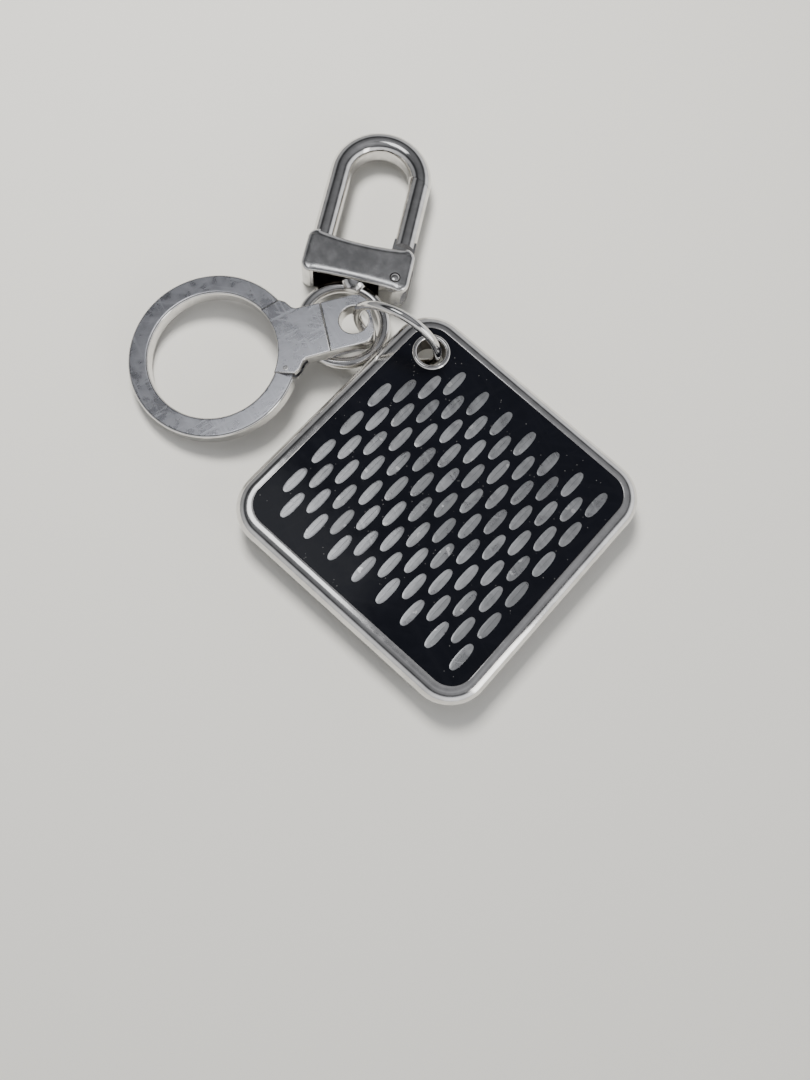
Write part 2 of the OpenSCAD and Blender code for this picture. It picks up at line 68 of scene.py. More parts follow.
@dataclass
class Shell:
    """A closed surface, or several, as vertices in millimetres, faces and a finish number for each face."""

    points: np.ndarray
    faces: list[tuple[int, ...]]
    finish: list[int]

    def joined(self, other: "Shell") -> "Shell":
        """Returns this surface and another as one.

        Args:
            other: the surface to add.

        Returns:
            The joined surface.
        """
        start = len(self.points)
        moved = [tuple(i + start for i in face) for face in other.faces]
        points = np.vstack([self.points, other.points])
        return Shell(points, self.faces + moved, self.finish + other.finish)

    def placed(self, place: "Place") -> "Shell":
        """Returns the surface carried from a local frame into the row frame."""
        return Shell(place.to_row(self.points), self.faces, self.finish)


@dataclass(frozen=True)
class Place:
    """A local frame: an origin in millimetres and three unit axes."""

    origin: np.ndarray
    x: np.ndarray
    y: np.ndarray
    z: np.ndarray

    def to_row(self, points: np.ndarray) -> np.ndarray:
        """Carries local points into the row frame."""
        x, y, z = points[:, :1], points[:, 1:2], points[:, 2:3]
        return self.origin + x * self.x + y * self.y + z * self.z


def plain_place(x: float = 0.0, y: float = 0.0, z: float = 0.0) -> Place:
    """A frame that is only shifted, in millimetres."""
    axes = np.eye(3)
    return Place(np.array([x, y, z]), axes[0], axes[1], axes[2])


def joint_of(name: str) -> dict[str, Any]:
    """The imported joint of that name."""
    return next(joint for joint in frame["joints"] if joint["name"] == name)


def joint_point(name: str) -> np.ndarray:
    """A joint's point, in millimetres."""
    return np.array(joint_of(name)["pos_m"]) / MM


def joint_axis(name: str) -> np.ndarray:
    """A joint's axis as a unit vector."""
    axis = np.array(joint_of(name)["axis"], float)
    return axis / np.linalg.norm(axis)


def arc(cx: float, cy: float, r: float, start: float, end: float, steps: int) -> np.ndarray:
    """Points of a circular arc, from angle start to angle end in degrees, both ends included."""
    angle = np.radians(np.linspace(start, end, steps))
    return np.column_stack([cx + r * np.cos(angle), cy + r * np.sin(angle)])


def circle(cx: float, cy: float, r: float, steps: int = 64, clockwise: bool = False) -> np.ndarray:
    """A whole circle as a closed outline; a hole's outline runs clockwise."""
    points = arc(cx, cy, r, 0, 360, steps + 1)[:-1]
    return points[::-1] if clockwise else points


def round_square(half: float, r: float, side_steps: int = 24, corner_steps: int = 25) -> np.ndarray:
    """A square with round corners, anticlockwise, its straight sides divided too.

    Args:
        half: half the square's width.
        r: the corner radius.
        side_steps: divisions of each straight side.
        corner_steps: points of each corner arc.

    Returns:
        The outline's points.
    """
    at = half - r
    parts = []
    for turn, (sx, sy) in enumerate([(1, 1), (-1, 1), (-1, -1), (1, -1)]):
        corner = arc(sx * at, sy * at, r, 90 * turn, 90 * turn + 90, corner_steps)
        heading = np.radians(90 * turn + 180)
        run = np.linspace(0, 2 * at, side_steps + 1)[1:-1, None]
        parts += [corner, corner[-1] + run * np.array([math.cos(heading), math.sin(heading)])]
    return np.vstack(parts)


def mitres(outline: np.ndarray) -> np.ndarray:
    """The outward step at each point that moves both its edges out by one unit.

    Args:
        outline: a closed outline, anticlockwise for an outside.

    Returns:
        A step for each point.
    """
    edge = np.roll(outline, -1, 0) - outline
    normal = np.column_stack([edge[:, 1], -edge[:, 0]]) / np.linalg.norm(edge, axis=1)[:, None]
    before = np.roll(normal, 1, 0)
    return (before + normal) / (1 + (before * normal).sum(1))[:, None]


def grid_faces(rows: int, cols: int, start: int = 0, wrap_rows: bool = False) -> list[tuple[int, ...]]:
    """Quads of a grid of points whose columns close on themselves.

    Args:
        rows: how many rings the grid has.
        cols: how many points each ring has.
        start: the number of the grid's first point.
        wrap_rows: whether the last ring joins the first.

    Returns:
        The faces as tuples of point numbers.
    """
    row = np.arange(rows if wrap_rows else rows - 1)[:, None]
    col = np.arange(cols)[None, :]
    after, beside = (row + 1) % rows, (col + 1) % cols
    quads = np.stack([row * cols + col, row * cols + beside, after * cols + beside, after * cols + col], -1)
    return [tuple(quad) for quad in (quads.reshape(-1, 4) + start).tolist()]


def tube(rings: np.ndarray, wrap: bool = False, finish: int = 0) -> Shell:
    """A surface through rings of points, closed by a flat cap at each end unless the rings join up.

    Args:
        rings: an array of rings by points by 3.
        wrap: whether the last ring joins the first.
        finish: the finish number of its faces.

    Returns:
        The surface, turned so that its faces point outward.
    """
    rows, cols = rings.shape[:2]
    faces = grid_faces(rows, cols, wrap_rows=wrap)
    if not wrap:
        faces.append(tuple(range(cols))[::-1])
        faces.append(tuple(range((rows - 1) * cols, rows * cols)))
    shell = Shell(rings.reshape(-1, 3), faces, [finish] * len(faces))
    return outward(shell)


def outward(shell: Shell) -> Shell:
    """Turns a closed surface's faces over if its signed volume is negative.

    Args:
        shell: the surface, which is changed in place.

    Returns:
        The same surface.
    """
    total = 0.0
    for face in shell.faces:
        a, rest = shell.points[face[0]], shell.points[list(face[1:])]
        total += float((np.cross(rest[:-1], rest[1:]) @ a).sum())
    if total < 0:
        shell.faces = [face[::-1] for face in shell.faces]
    return shell


def edge_steps(
    low: float, high: float, z0: float, z1: float, spread: float = 1.0, steps: int = 7
) -> list[tuple[float, float]]:
    """The side of a slab with rounded edges, as (inset, height) pairs from its lower face to its upper face.

    Args:
        low: height of the lower edge's quarter round.
        high: height of the upper edge's quarter round.
        z0: height of the lower face.
        z1: height of the upper face.
        spread: how much wider than high each quarter round is.
        steps: points of each quarter round.

    Returns:
        The pairs.
    """
    turn = np.radians(np.linspace(0, 90, steps))
    bottom, top = [(0.0, z0)], [(0.0, z1)]
    if low:
        rise = [(low * spread * (1 - math.sin(t)), z0 + low * (1 - math.cos(t))) for t in turn]
        bottom = [(low * spread + SUPPORT, z0)] + rise
    if high:
        rise = [(high * spread * (1 - math.cos(t)), z1 - high * (1 - math.sin(t))) for t in turn]
        top = rise + [(high * spread + SUPPORT, z1)]
    return bottom + top


def slab(
    outlines: Sequence[np.ndarray],
    z0: float,
    z1: float,
    low: float = 0.0,
    high: float = 0.0,
    spread: float = 1.0,
) -> Shell:
    """A slab with holes and rounded edges, each outline carried up a round, a wall and a round.

    Args:
        outlines: the outside, anticlockwise, then any holes, clockwise.
        z0: height of the lower face.
        z1: height of the upper face.
        low: radius of the lower edges.
        high: radius of the upper edges.
        spread: how much wider than high the edges' rounds are.

    Returns:
        The surface; its flat faces have finish 0 and its sides and edges finish 1.
    """
    profile = edge_steps(low, high, z0, z1, spread)
    points: list[np.ndarray] = []
    faces: list[tuple[int, ...]] = []
    finish: list[int] = []
    lower: list[int] = []
    upper: list[int] = []
    for outline in outlines:
        start, count = sum(len(p) for p in points), len(outline)
        step = mitres(outline)
        rings = [np.column_stack([outline - step * inset, np.full(count, z)]) for inset, z in profile]
        points.append(np.vstack(rings))
        walls = grid_faces(len(profile), count, start)
        faces += walls
        finish += [1] * len(walls)
        lower += range(start, start + count)
        upper += range(start + (len(profile) - 1) * count, start + len(profile) * count)
    stacked = np.vstack(points)
    for chosen, facing in ((lower, -1.0), (upper, 1.0)):
        loops, at = [], 0
        for outline in outlines:
            part = stacked[chosen[at : at + len(outline)]]
            loops.append([Vector(p) for p in part])
            at += len(outline)
        for tri in tessellate_polygon(loops):
            a, b, c = (stacked[chosen[i]] for i in tri)
            turned = np.cross(b - a, c - a)[2] * facing < 0
            face = tuple(chosen[i] for i in tri)
            faces.append(face[::-1] if turned else face)
            finish.append(0)
    return Shell(stacked, faces, finish)


def revolved(profile: np.ndarray, steps: int = 64, finish: int = 0) -> Shell:
    """A closed profile of (radius, height) points carried round the Z axis."""
    angle = np.linspace(0, 2 * math.pi, steps, endpoint=False)[:, None]
    x = profile[None, :, 0] * np.cos(angle)
    y = profile[None, :, 0] * np.sin(angle)
    z = np.broadcast_to(profile[None, :, 1], x.shape)
    return tube(np.stack([x, y, z], -1), wrap=True, finish=finish)


def bar_outline(width: float, height: float, r: float, steps: int = 9) -> np.ndarray:
    """The cross-section of a bar: a rectangle with round corners, centred, anticlockwise."""
    x, y = width / 2 - r, height / 2 - r
    parts = []
    for cx, cy, start in ((x, y, 0), (-x, y, 90), (-x, -y, 180), (x, -y, 270)):
        bend = arc(cx, cy, r, start, start + 90, steps)
        heading = np.array([-math.sin(math.radians(start)), math.cos(math.radians(start))])
        turned = np.array([-heading[1], heading[0]])
        parts += [bend[:1] - heading * min(SUPPORT, y or x), bend, bend[-1:] + turned * min(SUPPORT, x or y)]
    return np.vstack(parts)


# ---------------------------------------------------------------- finishes


class Grain(Enum):
    """Which way a finish's fine scratches run on a piece."""

    CROSSED = "crossed"
    ALONG_X = "along_x"
    NONE = "none"


@dataclass(frozen=True)
class Finish:
    """A surface finish: its colour, its gloss, and its wear."""

    name: str
    colour: tuple[float, float, float]
    metallic: float = 0.0
    gloss_low: float = 0.3
    gloss_high: float = 0.45
    grain: Grain = Grain.CROSSED
    scratch: float = 0.0
    scratch_scale: float = 900.0
    bump: float = 0.0
    mottle: float = 0.1
    # strength of the bright specks: dust on most finishes, painted glints on the ovals
    dust_and_glint: float = 0.0
    sheen_level: float = 0.5
    speck_scale: float = 1500.0
    speck_size: float = 0.12
    tone: bool = False


class Finishes(Enum):
    """Every finish on the object."""

    POLISHED = Finish("polished_steel", (0.72, 0.705, 0.685), 1.0, 0.07, 0.16, scratch=0.3, bump=0.025, mottle=0.12)
    SATIN = Finish("satin_steel", (0.56, 0.56, 0.59), 1.0, 0.22, 0.36, scratch=1.0, scratch_scale=1600.0, bump=0.07,
                   mottle=0.12)
    # the ovals' strong bright specks are painted glints
    INLAY = Finish("oval_inlay", (0.64, 0.64, 0.64), 1.0, 0.26, 0.42, scratch=0.9, scratch_scale=1300.0,
                   bump=0.15, mottle=0.2, dust_and_glint=0.9, speck_scale=560.0, speck_size=0.26, tone=True)
    BLOCK = Finish("brushed_block", (0.7, 0.69, 0.675), 1.0, 0.15, 0.26, scratch=0.5, bump=0.06, mottle=0.14)
    # dark colour for faces inside holes and recesses: painted shade
    HOLLOW_SHADE = Finish("painted_hollow_shade", (0.12, 0.105, 0.09), 1.0, 0.3, 0.45, Grain.NONE, bump=0.05, mottle=0.4)
    BLACK = Finish("black_gloss", (0.004, 0.0045, 0.007), 0.0, 0.08, 0.16, scratch=0.15, bump=0.01, dust_and_glint=0.1,
                   sheen_level=0.12)
    COVER = Finish("cover_matte", (0.022, 0.022, 0.025), 0.0, 0.5, 0.62, Grain.NONE, bump=0.25, dust_and_glint=0.2)
    RUBBER = Finish("seal_rubber", (0.16, 0.02, 0.015), 0.0, 0.6, 0.75, Grain.NONE, bump=0.1)
    BOARD = Finish("board_green", (0.008, 0.06, 0.028), 0.0, 0.25, 0.35, Grain.ALONG_X, scratch=0.2)
    CHIP = Finish("chip_black", (0.016, 0.016, 0.017), 0.0, 0.45, 0.6, Grain.NONE, bump=0.1)
    CARRIER = Finish("carrier_white", (0.6, 0.59, 0.55), 0.0, 0.45, 0.55, Grain.NONE, bump=0.06)
    CELL = Finish("cell_steel", (0.6, 0.6, 0.6), 1.0, 0.2, 0.3, scratch=0.4, bump=0.03)
    BRASS = Finish("brass", (0.72, 0.5, 0.2), 1.0, 0.22, 0.34, scratch=0.4, bump=0.03)
    CERAMIC = Finish("ceramic", (0.72, 0.68, 0.58), 0.0, 0.5, 0.6, Grain.NONE)
    SPRING = Finish("spring_wire", (0.35, 0.35, 0.37), 1.0, 0.25, 0.35, Grain.NONE)
    # dark ring round the rivet: painted shade of its groove
    GROOVE_SHADE = Finish("painted_groove_shade", (0.05, 0.048, 0.046), 1.0, 0.5, 0.65, Grain.NONE)


@dataclass(frozen=True)
class Nodes:
    """Short calls for adding shader nodes to one tree."""

    tree: bpy.types.NodeTree

    def add(self, kind: str, **settings: Any) -> bpy.types.Node:
        """Adds a node and sets its properties.

        Args:
            kind: the node's type name.
            **settings: properties of the node.

        Returns:
            The new node.
        """
        node = self.tree.nodes.new(kind)
        for key, value in settings.items():
            setattr(node, key, value)
        return node

    def link(self, source: bpy.types.NodeSocket, target: bpy.types.NodeSocket) -> None:
        """Joins two sockets."""
        self.tree.links.new(source, target)

    def math(self, operation: str, a: Any, b: Any) -> bpy.types.NodeSocket:
        """A Math node on two values or sockets.

        Args:
            operation: the node's operation.
            a: the first value or socket.
            b: the second value or socket.

        Returns:
            The node's output.
        """
        node = self.add("ShaderNodeMath", operation=operation)
        for socket, value in zip(node.inputs, (a, b)):
            if isinstance(value, bpy.types.NodeSocket):
                self.link(value, socket)
            else:
                socket.default_value = value
        return node.outputs[0]


def new_group(
    name: str, inputs: Sequence[tuple[str, str, float]], outputs: Sequence[str]
) -> tuple[Any, Nodes, Any, Any]:
    """An empty shader node group with named sockets.

    Args:
        name: the group's name.
        inputs: name, socket type and default of each input.
        outputs: the names of its float outputs.

    Returns:
        The group, its node helper, its input node and its output node.
    """
    tree = bpy.data.node_groups.new(name, "ShaderNodeTree")
    for label, kind, default in inputs:
        socket = tree.interface.new_socket(label, in_out="INPUT", socket_type=kind)
        if kind == "NodeSocketFloat":
            socket.default_value = default
    for label in outputs:
        tree.interface.new_socket(label, in_out="OUTPUT", socket_type="NodeSocketFloat")
    nodes = Nodes(tree)
    return tree, nodes, nodes.add("NodeGroupInput"), nodes.add("NodeGroupOutput")


def scratch_group() -> bpy.types.NodeTree:
    """Fine scratches: noise drawn out along two crossing directions, cut to thin bright lines.

    Returns:
        The node group.
    """
    tree, nodes, given, result = new_group(
        "fine_scratches",
        [("Vector", "NodeSocketVector", 0), ("Scale", "NodeSocketFloat", 900), ("Crossed", "NodeSocketFloat", 1)],
        ["Mask"],
    )
    lines = []
    for turn, stretch in ((0.35, 0.05), (1.9, 0.07), (2.6, 0.035)):
        rotate = nodes.add("ShaderNodeVectorRotate", rotation_type="Z_AXIS")
        rotate.inputs["Angle"].default_value = turn
        nodes.link(given.outputs["Vector"], rotate.inputs["Vector"])
        draw = nodes.add("ShaderNodeVectorMath", operation="MULTIPLY")
        draw.inputs[1].default_value = (stretch, 1.0, 0.6)
        nodes.link(rotate.outputs["Vector"], draw.inputs[0])
        noise = nodes.add("ShaderNodeTexNoise")
        noise.inputs["Detail"].default_value = 3.0
        nodes.link(draw.outputs["Vector"], noise.inputs["Vector"])
        nodes.link(given.outputs["Scale"], noise.inputs["Scale"])
        ramp = nodes.add("ShaderNodeMapRange", interpolation_type="SMOOTHSTEP")
        ramp.inputs["From Min"].default_value = 0.54
        ramp.inputs["From Max"].default_value = 0.7
        nodes.link(noise.outputs["Fac"], ramp.inputs["Value"])
        lines.append(ramp.outputs["Result"])
    second = nodes.math("MULTIPLY", lines[1], given.outputs["Crossed"])
    crossing = nodes.math("MAXIMUM", lines[0], second)
    nodes.link(nodes.math("MAXIMUM", crossing, lines[2]), result.inputs["Mask"])
    return tree


def mottle_group() -> bpy.types.NodeTree:
    """Slow uneven handling marks: two sizes of noise added together.

    Returns:
        The node group.
    """
    tree, nodes, given, result = new_group(
        "handling_marks", [("Vector", "NodeSocketVector", 0), ("Scale", "NodeSocketFloat", 160)], ["Mask"]
    )
    parts = []
    for factor in (1.0, 4.3):
        noise = nodes.add("ShaderNodeTexNoise")
        noise.inputs["Detail"].default_value = 4.0
        nodes.link(given.outputs["Vector"], noise.inputs["Vector"])
        nodes.link(nodes.math("MULTIPLY", given.outputs["Scale"], factor), noise.inputs["Scale"])
        parts.append(noise.outputs["Fac"])
    mixed = nodes.math("MULTIPLY", nodes.math("ADD", parts[0], parts[1]), 0.5)
    ramp = nodes.add("ShaderNodeMapRange", interpolation_type="SMOOTHSTEP")
    ramp.inputs["From Min"].default_value = 0.36
    ramp.inputs["From Max"].default_value = 0.64
    nodes.link(mixed, ramp.inputs["Value"])
    nodes.link(ramp.outputs["Result"], result.inputs["Mask"])
    return tree


def speck_group() -> bpy.types.NodeTree:
    """Dust and small pits, and on the ovals painted glints: the centres of scattered cells, thinned out by noise.

    Returns:
        The node group.
    """
    tree, nodes, given, result = new_group(
        "specks",
        [("Vector", "NodeSocketVector", 0), ("Scale", "NodeSocketFloat", 1500), ("Size", "NodeSocketFloat", 0.16)],
        ["Mask"],
    )
    cells = nodes.add("ShaderNodeTexVoronoi")
    nodes.link(given.outputs["Vector"], cells.inputs["Vector"])
    nodes.link(given.outputs["Scale"], cells.inputs["Scale"])
    near = nodes.math("LESS_THAN", cells.outputs["Distance"], given.outputs["Size"])
    thin = nodes.add("ShaderNodeTexNoise")
    nodes.link(given.outputs["Vector"], thin.inputs["Vector"])
    thin.inputs["Scale"].default_value = 420.0
    keep = nodes.math("GREATER_THAN", thin.outputs["Fac"], 0.57)
    nodes.link(nodes.math("MULTIPLY", near, keep), result.inputs["Mask"])
    return tree


class Workshop:
    """Makes each finish's material once, from the shared effects."""

    def __init__(self) -> None:
        """Builds the shared effects."""
        self.scratches = scratch_group()
        self.marks = mottle_group()
        self.specks = speck_group()
        self.made: dict[str, bpy.types.Material] = {}

    def effect(self, nodes: Nodes, group: bpy.types.NodeTree, vector: Any, **values: float) -> Any:
        """Places a shared effect in a material.

        Args:
            nodes: the material's node helper.
            group: the effect.
            vector: the coordinates it reads.
            **values: its other inputs.

        Returns:
            Its mask.
        """
        node = nodes.add("ShaderNodeGroup", node_tree=group)
        nodes.link(vector, node.inputs["Vector"])
        for key, value in values.items():
            node.inputs[key].default_value = value
        return node.outputs["Mask"]

    def material(self, choice: Finishes) -> bpy.types.Material:
        """The material of a finish, made on first use.

        Args:
            choice: the finish.

        Returns:
            Its material.
        """
        finish: Finish = choice.value
        if finish.name in self.made:
            return self.made[finish.name]
        material = bpy.data.materials.new(finish.name)
        material.use_nodes = True
        material.node_tree.nodes.clear()
        nodes = Nodes(material.node_tree)
        shader = nodes.add("ShaderNodeBsdfPrincipled")
        output = nodes.add("ShaderNodeOutputMaterial")
        nodes.link(shader.outputs["BSDF"], output.inputs["Surface"])
        shader.inputs["Metallic"].default_value = finish.metallic
        shader.inputs["Specular IOR Level"].default_value = finish.sheen_level
        vector = nodes.add("ShaderNodeTexCoord").outputs["Object"]
        marks = self.effect(nodes, self.marks, vector, Scale=160.0)
        crossed = 1.0 if finish.grain is Grain.CROSSED else 0.0
        lines = self.effect(nodes, self.scratches, vector, Scale=finish.scratch_scale, Crossed=crossed)
        lines = nodes.math("MULTIPLY", lines, 0.0 if finish.grain is Grain.NONE else finish.scratch)
        specks = self.effect(nodes, self.specks, vector, Scale=finish.speck_scale, Size=finish.speck_size)
        self.colour(nodes, finish, shader, marks, lines, specks)
        rough = nodes.add("ShaderNodeMapRange")
        rough.inputs["To Min"].default_value = finish.gloss_low
        rough.inputs["To Max"].default_value = finish.gloss_high
        nodes.link(nodes.math("MAXIMUM", marks, lines), rough.inputs["Value"])
        nodes.link(rough.outputs["Result"], shader.inputs["Roughness"])
        if finish.bump:
            bump = nodes.add("ShaderNodeBump")
            bump.inputs["Strength"].default_value = finish.bump
            bump.inputs["Distance"].default_value = 0.00005
            nodes.link(nodes.math("SUBTRACT", nodes.math("MULTIPLY", marks, 0.08), lines), bump.inputs["Height"])
            nodes.link(bump.outputs["Normal"], shader.inputs["Normal"])
        self.made[finish.name] = material
        return material

    def colour(
        self, nodes: Nodes, finish: Finish, shader: bpy.types.Node, marks: Any, lines: Any, specks: Any
    ) -> None:
        """Mixes a finish's colour from its handling marks, scratches, dust, painted glints and per-piece tone.

        Args:
            nodes: the material's node helper.
            finish: the finish.
            shader: the shader that takes the colour.
            marks: mask of the handling marks.
            lines: mask of the scratches.
            specks: mask of the dust and of the painted glints.
        """
        deep = tuple(c * (1 - finish.mottle) for c in finish.colour)
        light = tuple(min(1.0, c * (1 + 0.5 * finish.mottle)) for c in finish.colour)
        bright = tuple(min(1.0, c * 1.18 + 0.01) for c in finish.colour)
        base = self.mix(nodes, marks, deep, light)
        worn_and_glinted = self.mix(nodes, nodes.math("MULTIPLY", lines, 0.6), base, bright)
        if finish.tone:
            tone = nodes.add("ShaderNodeAttribute", attribute_name="tone")
            worn_and_glinted = self.mix(nodes, tone.outputs["Fac"], worn_and_glinted, tuple(c * 0.72 for c in finish.colour))
        # bright specks: dust, and on the ovals painted glints
        if finish.dust_and_glint:
            worn_and_glinted = self.mix(nodes, nodes.math("MULTIPLY", specks, finish.dust_and_glint), worn_and_glinted, (0.97, 0.96, 0.94))
        nodes.link(worn_and_glinted, shader.inputs["Base Color"])

    def mix(self, nodes: Nodes, factor: Any, a: Any, b: Any) -> bpy.types.NodeSocket:
        """A colour mix of two sockets or plain colours.

        Args:
            nodes: the material's node helper.
            factor: the mask.
            a: the colour where the mask is 0.
            b: the colour where the mask is 1.

        Returns:
            The mixed colour.
        """
        node = nodes.add("ShaderNodeMix", data_type="RGBA")
        nodes.link(factor, node.inputs["Factor"])
        for socket, value in ((node.inputs[6], a), (node.inputs[7], b)):
            if isinstance(value, bpy.types.NodeSocket):
                nodes.link(value, socket)
            else:
                socket.default_value = (*value, 1.0)
        return node.outputs[2]


@dataclass
class Bench:
    """Puts finished surfaces on the bodies they ride on, and gives CAD nodes that stay their finishes."""

    workshop: Workshop
    count: int = 0

    def piece(
        self,
        name: str,
        shell: Shell,
        finishes: Sequence[Finishes],
        body: str,
        slot: str,
        replaces: Sequence[str] = (),
        crease: float = 35.0,
    ) -> bpy.types.Object:
        """Makes a surface a piece of the object.

        Args:
            name: the piece's name.
            shell: its surface, in millimetres in the row frame.
            finishes: a finish for each finish number that the surface uses.
            body: the CAD body it rides on.
            slot: the record's material slot; not used.
            replaces: CAD nodes that it stands for.
            crease: the angle in degrees past which an edge stays sharp.

        Returns:
            The new object.
        """
        mesh = bpy.data.meshes.new(name)
        mesh.from_pydata((shell.points * MM).tolist(), [], shell.faces)
        for finish in finishes:
            mesh.materials.append(self.workshop.material(finish))
        count = len(mesh.polygons)
        mesh.polygons.foreach_set("material_index", [min(f, len(finishes) - 1) for f in shell.finish])
        mesh.polygons.foreach_set("use_smooth", [True] * count)
        mesh.update()
        mesh.set_sharp_from_angle(angle=math.radians(crease))
        item = bpy.data.objects.new(name, mesh)
        bpy.context.scene.collection.objects.link(item)
        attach(item, body)
        if replaces:
            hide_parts(*replaces)
        self.count += 1
        LOG.info("piece %s: %d faces on %s", name, count, body)
        return item

    def dress(self, node: str, finish: Finishes) -> None:
        """Gives a CAD node that stays as it is its finish.

        Args:
            node: the CAD node.
            finish: its finish.
        """
        item = frame["nodes"][node]
        item.data.materials.clear()
        item.data.materials.append(self.workshop.material(finish))
        LOG.info("node %s: %s", node, finish.value.name)


# ---------------------------------------------------------------- tag


@dataclass
class Tag:
    """The square tag: frame, black face, ovals, eyelet and everything inside. Sizes in millimetres."""

    bench: Bench
    corner: float = 6.5
    rim: float = 2.7
    ledge: float = 0.9
    lip: float = 0.12
    panel: float = 0.7
    plate: float = 0.5
    flange: float = 1.2
    opening: float = 16.5
    boss: float = 4.0
    hole: float = 2.25
    wall: float = 0.5
    lip_roll: float = 0.43
    flare: float = 0.9
    columns: int = 16
    pitch_x: float = 2.44
    pitch_y: float = 6.37
    shift_y: float = -0.2
    oval_l: float = 5.1
    oval_w: float = 1.72
    oval_power: float = 2.5
    oval_clear: float = 0.58
    lip_drop: float = 0.1
    flare_edge: float = 0.3
    seat: float = 0.02
    seed: int = 11
    low: np.ndarray = field(init=False)
    high: np.ndarray = field(init=False)

    def __post_init__(self) -> None:
        """Reads the frame's box, which all the tag's places come from."""
        low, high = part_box("tag_frame")
        self.low, self.high = np.array(low) / MM, np.array(high) / MM

    @property
    def half(self) -> float:
        """Half the frame's width."""
        return float(self.high[0])

    @property
    def face_top(self) -> float:
        """Height of the black face."""
        return float(self.high[2]) - self.lip_drop

    def eyelet_at(self) -> np.ndarray:
        """The eyelet's centre in plan."""
        return joint_point("jump_swing")[:2]

    def frame_shell(self) -> Shell:
        """The rim: a bullnose, a flat and a bright rolled lip, carried round the rounded square.

        Returns:
            The rim's closed surface.
        """
        nose = (self.high[2] - self.low[2]) / 2
        mid = (self.high[2] + self.low[2]) / 2
        z_plate = self.face_top - self.panel - self.plate
        outline = round_square(self.half, self.corner)
        step = mitres(outline)
        bow = arc(nose, mid, nose, 270, 90, 33)
        lip = arc(self.rim - self.lip, self.high[2] - self.lip, self.lip, 90, 0, 5)
        inner = np.array([[self.rim, self.face_top - self.panel], [self.rim, z_plate],
                          [self.rim + self.ledge, z_plate], [self.rim + self.ledge, self.low[2]]])
        profile = np.vstack([bow, lip, inner])
        rings = outline[:, None, :] - step[:, None, :] * profile[None, :, :1]
        height = np.broadcast_to(profile[None, :, 1:], rings.shape[:2] + (1,))
        return tube(np.concatenate([rings, height], -1), wrap=True)

    def flange_shell(self) -> Shell:
        """The frame's inner floor, with the big opening and the eyelet's hole through it.

        Returns:
            The closed surface.
        """
        inner = self.rim + self.ledge
        x, y = self.eyelet_at()
        hole = self.hole + self.flare + self.flare_edge
        outlines = [
            round_square(self.half - inner + 0.5, self.corner - inner + 0.5),
            circle(0, 0, self.opening, 128, clockwise=True),
            circle(x, y, hole, 64, clockwise=True),
        ]
        floor = slab(outlines, self.low[2], self.low[2] + self.flange)
        rings = [circle(x, y, self.boss, 64), circle(x, y, self.hole + self.wall + self.seat, 64, clockwise=True)]
        return floor.joined(slab(rings, self.low[2] + self.flange, self.face_top - self.panel - self.plate))

    def oval_places(self) -> np.ndarray:
        """Centres of the ovals: staggered columns, without those next to the eyelet.

        Returns:
            An array of centres.
        """
        places = []
        for column in range(self.columns):
            count = 6 if column % 2 else 5
            y = (np.arange(count) - (count - 1) / 2) * self.pitch_y + self.shift_y
            x = (column - (self.columns - 1) / 2) * self.pitch_x
            places.append(np.column_stack([np.full(count, x), y]))
        centres = np.vstack(places)
        clear = self.hole + self.oval_l / 2 + self.lip + self.oval_clear
        return centres[np.linalg.norm(centres - self.eyelet_at(), axis=1) > clear]

    def oval_shell(self) -> tuple[Shell, np.ndarray]:
        """The ovals: one rounded oval (a superellipse) with a soft edge and a faint crown, at every place.

        Returns:
            The ovals' surface, and each one's centre.
        """
        angle = np.linspace(0, 2 * math.pi, 40, endpoint=False)
        power = 2 / self.oval_power
        across, along = np.cos(angle), np.sin(angle)
        outline = np.column_stack([
            self.oval_w / 2 * np.sign(across) * np.abs(across) ** power,
            self.oval_l / 2 * np.sign(along) * np.abs(along) ** power,
        ])
        step = mitres(outline)
        base = self.face_top - self.panel - 0.1
        top = self.face_top + 0.02
        profile = [(0, base), (0, top - 0.1), (0.03, top - 0.035), (0.1, top - 0.008), (0.3, top),
                   (0.55, top + 0.01)]
        rings = np.stack([np.column_stack([outline - step * a, np.full(len(outline), z)]) for a, z in profile])
        one = tube(rings)
        centres = self.oval_places()
        shift = np.column_stack([centres, np.zeros(len(centres))])
        points = (shift[:, None, :] + one.points[None]).reshape(-1, 3)
        size = len(one.points)
        faces = [tuple(i + size * k for i in face) for k in range(len(centres)) for face in one.faces]
        return Shell(points, faces, one.finish * len(centres)), centres

    def base_shell(self) -> Shell:
        """The plate that carries the ovals, under the black face.

        Returns:
            The closed surface.
        """
        x, y = self.eyelet_at()
        outlines = [round_square(self.half - self.rim - 0.05, self.corner - self.rim),
                    circle(x, y, self.hole + self.wall + self.seat, 96, clockwise=True)]
        return slab(outlines, self.face_top - self.panel - self.plate, self.face_top - self.panel - self.seat)

    def panel_shell(self) -> Shell:
        """The black face: a thin plate with a slightly eased edge and the eyelet's hole.

        Returns:
            The closed surface.
        """
        x, y = self.eyelet_at()
        outlines = [round_square(self.half - self.rim - 0.01, self.corner - self.rim),
                    circle(x, y, self.hole + self.wall, 96, clockwise=True)]
        return slab(outlines, self.face_top - self.panel, self.face_top, high=0.06)

    def add_tone(self, item: bpy.types.Object, count: int) -> None:
        """Gives each oval a shade of its own.

        Args:
            item: the ovals' object.
            count: how many ovals there are.
        """
        chance = np.random.default_rng(self.seed)
        each = len(item.data.vertices) // count
        tone = np.repeat(chance.random(count) ** 2, each).astype(np.float32)
        item.data.attributes.new("tone", "FLOAT", "POINT").data.foreach_set("value", tone)

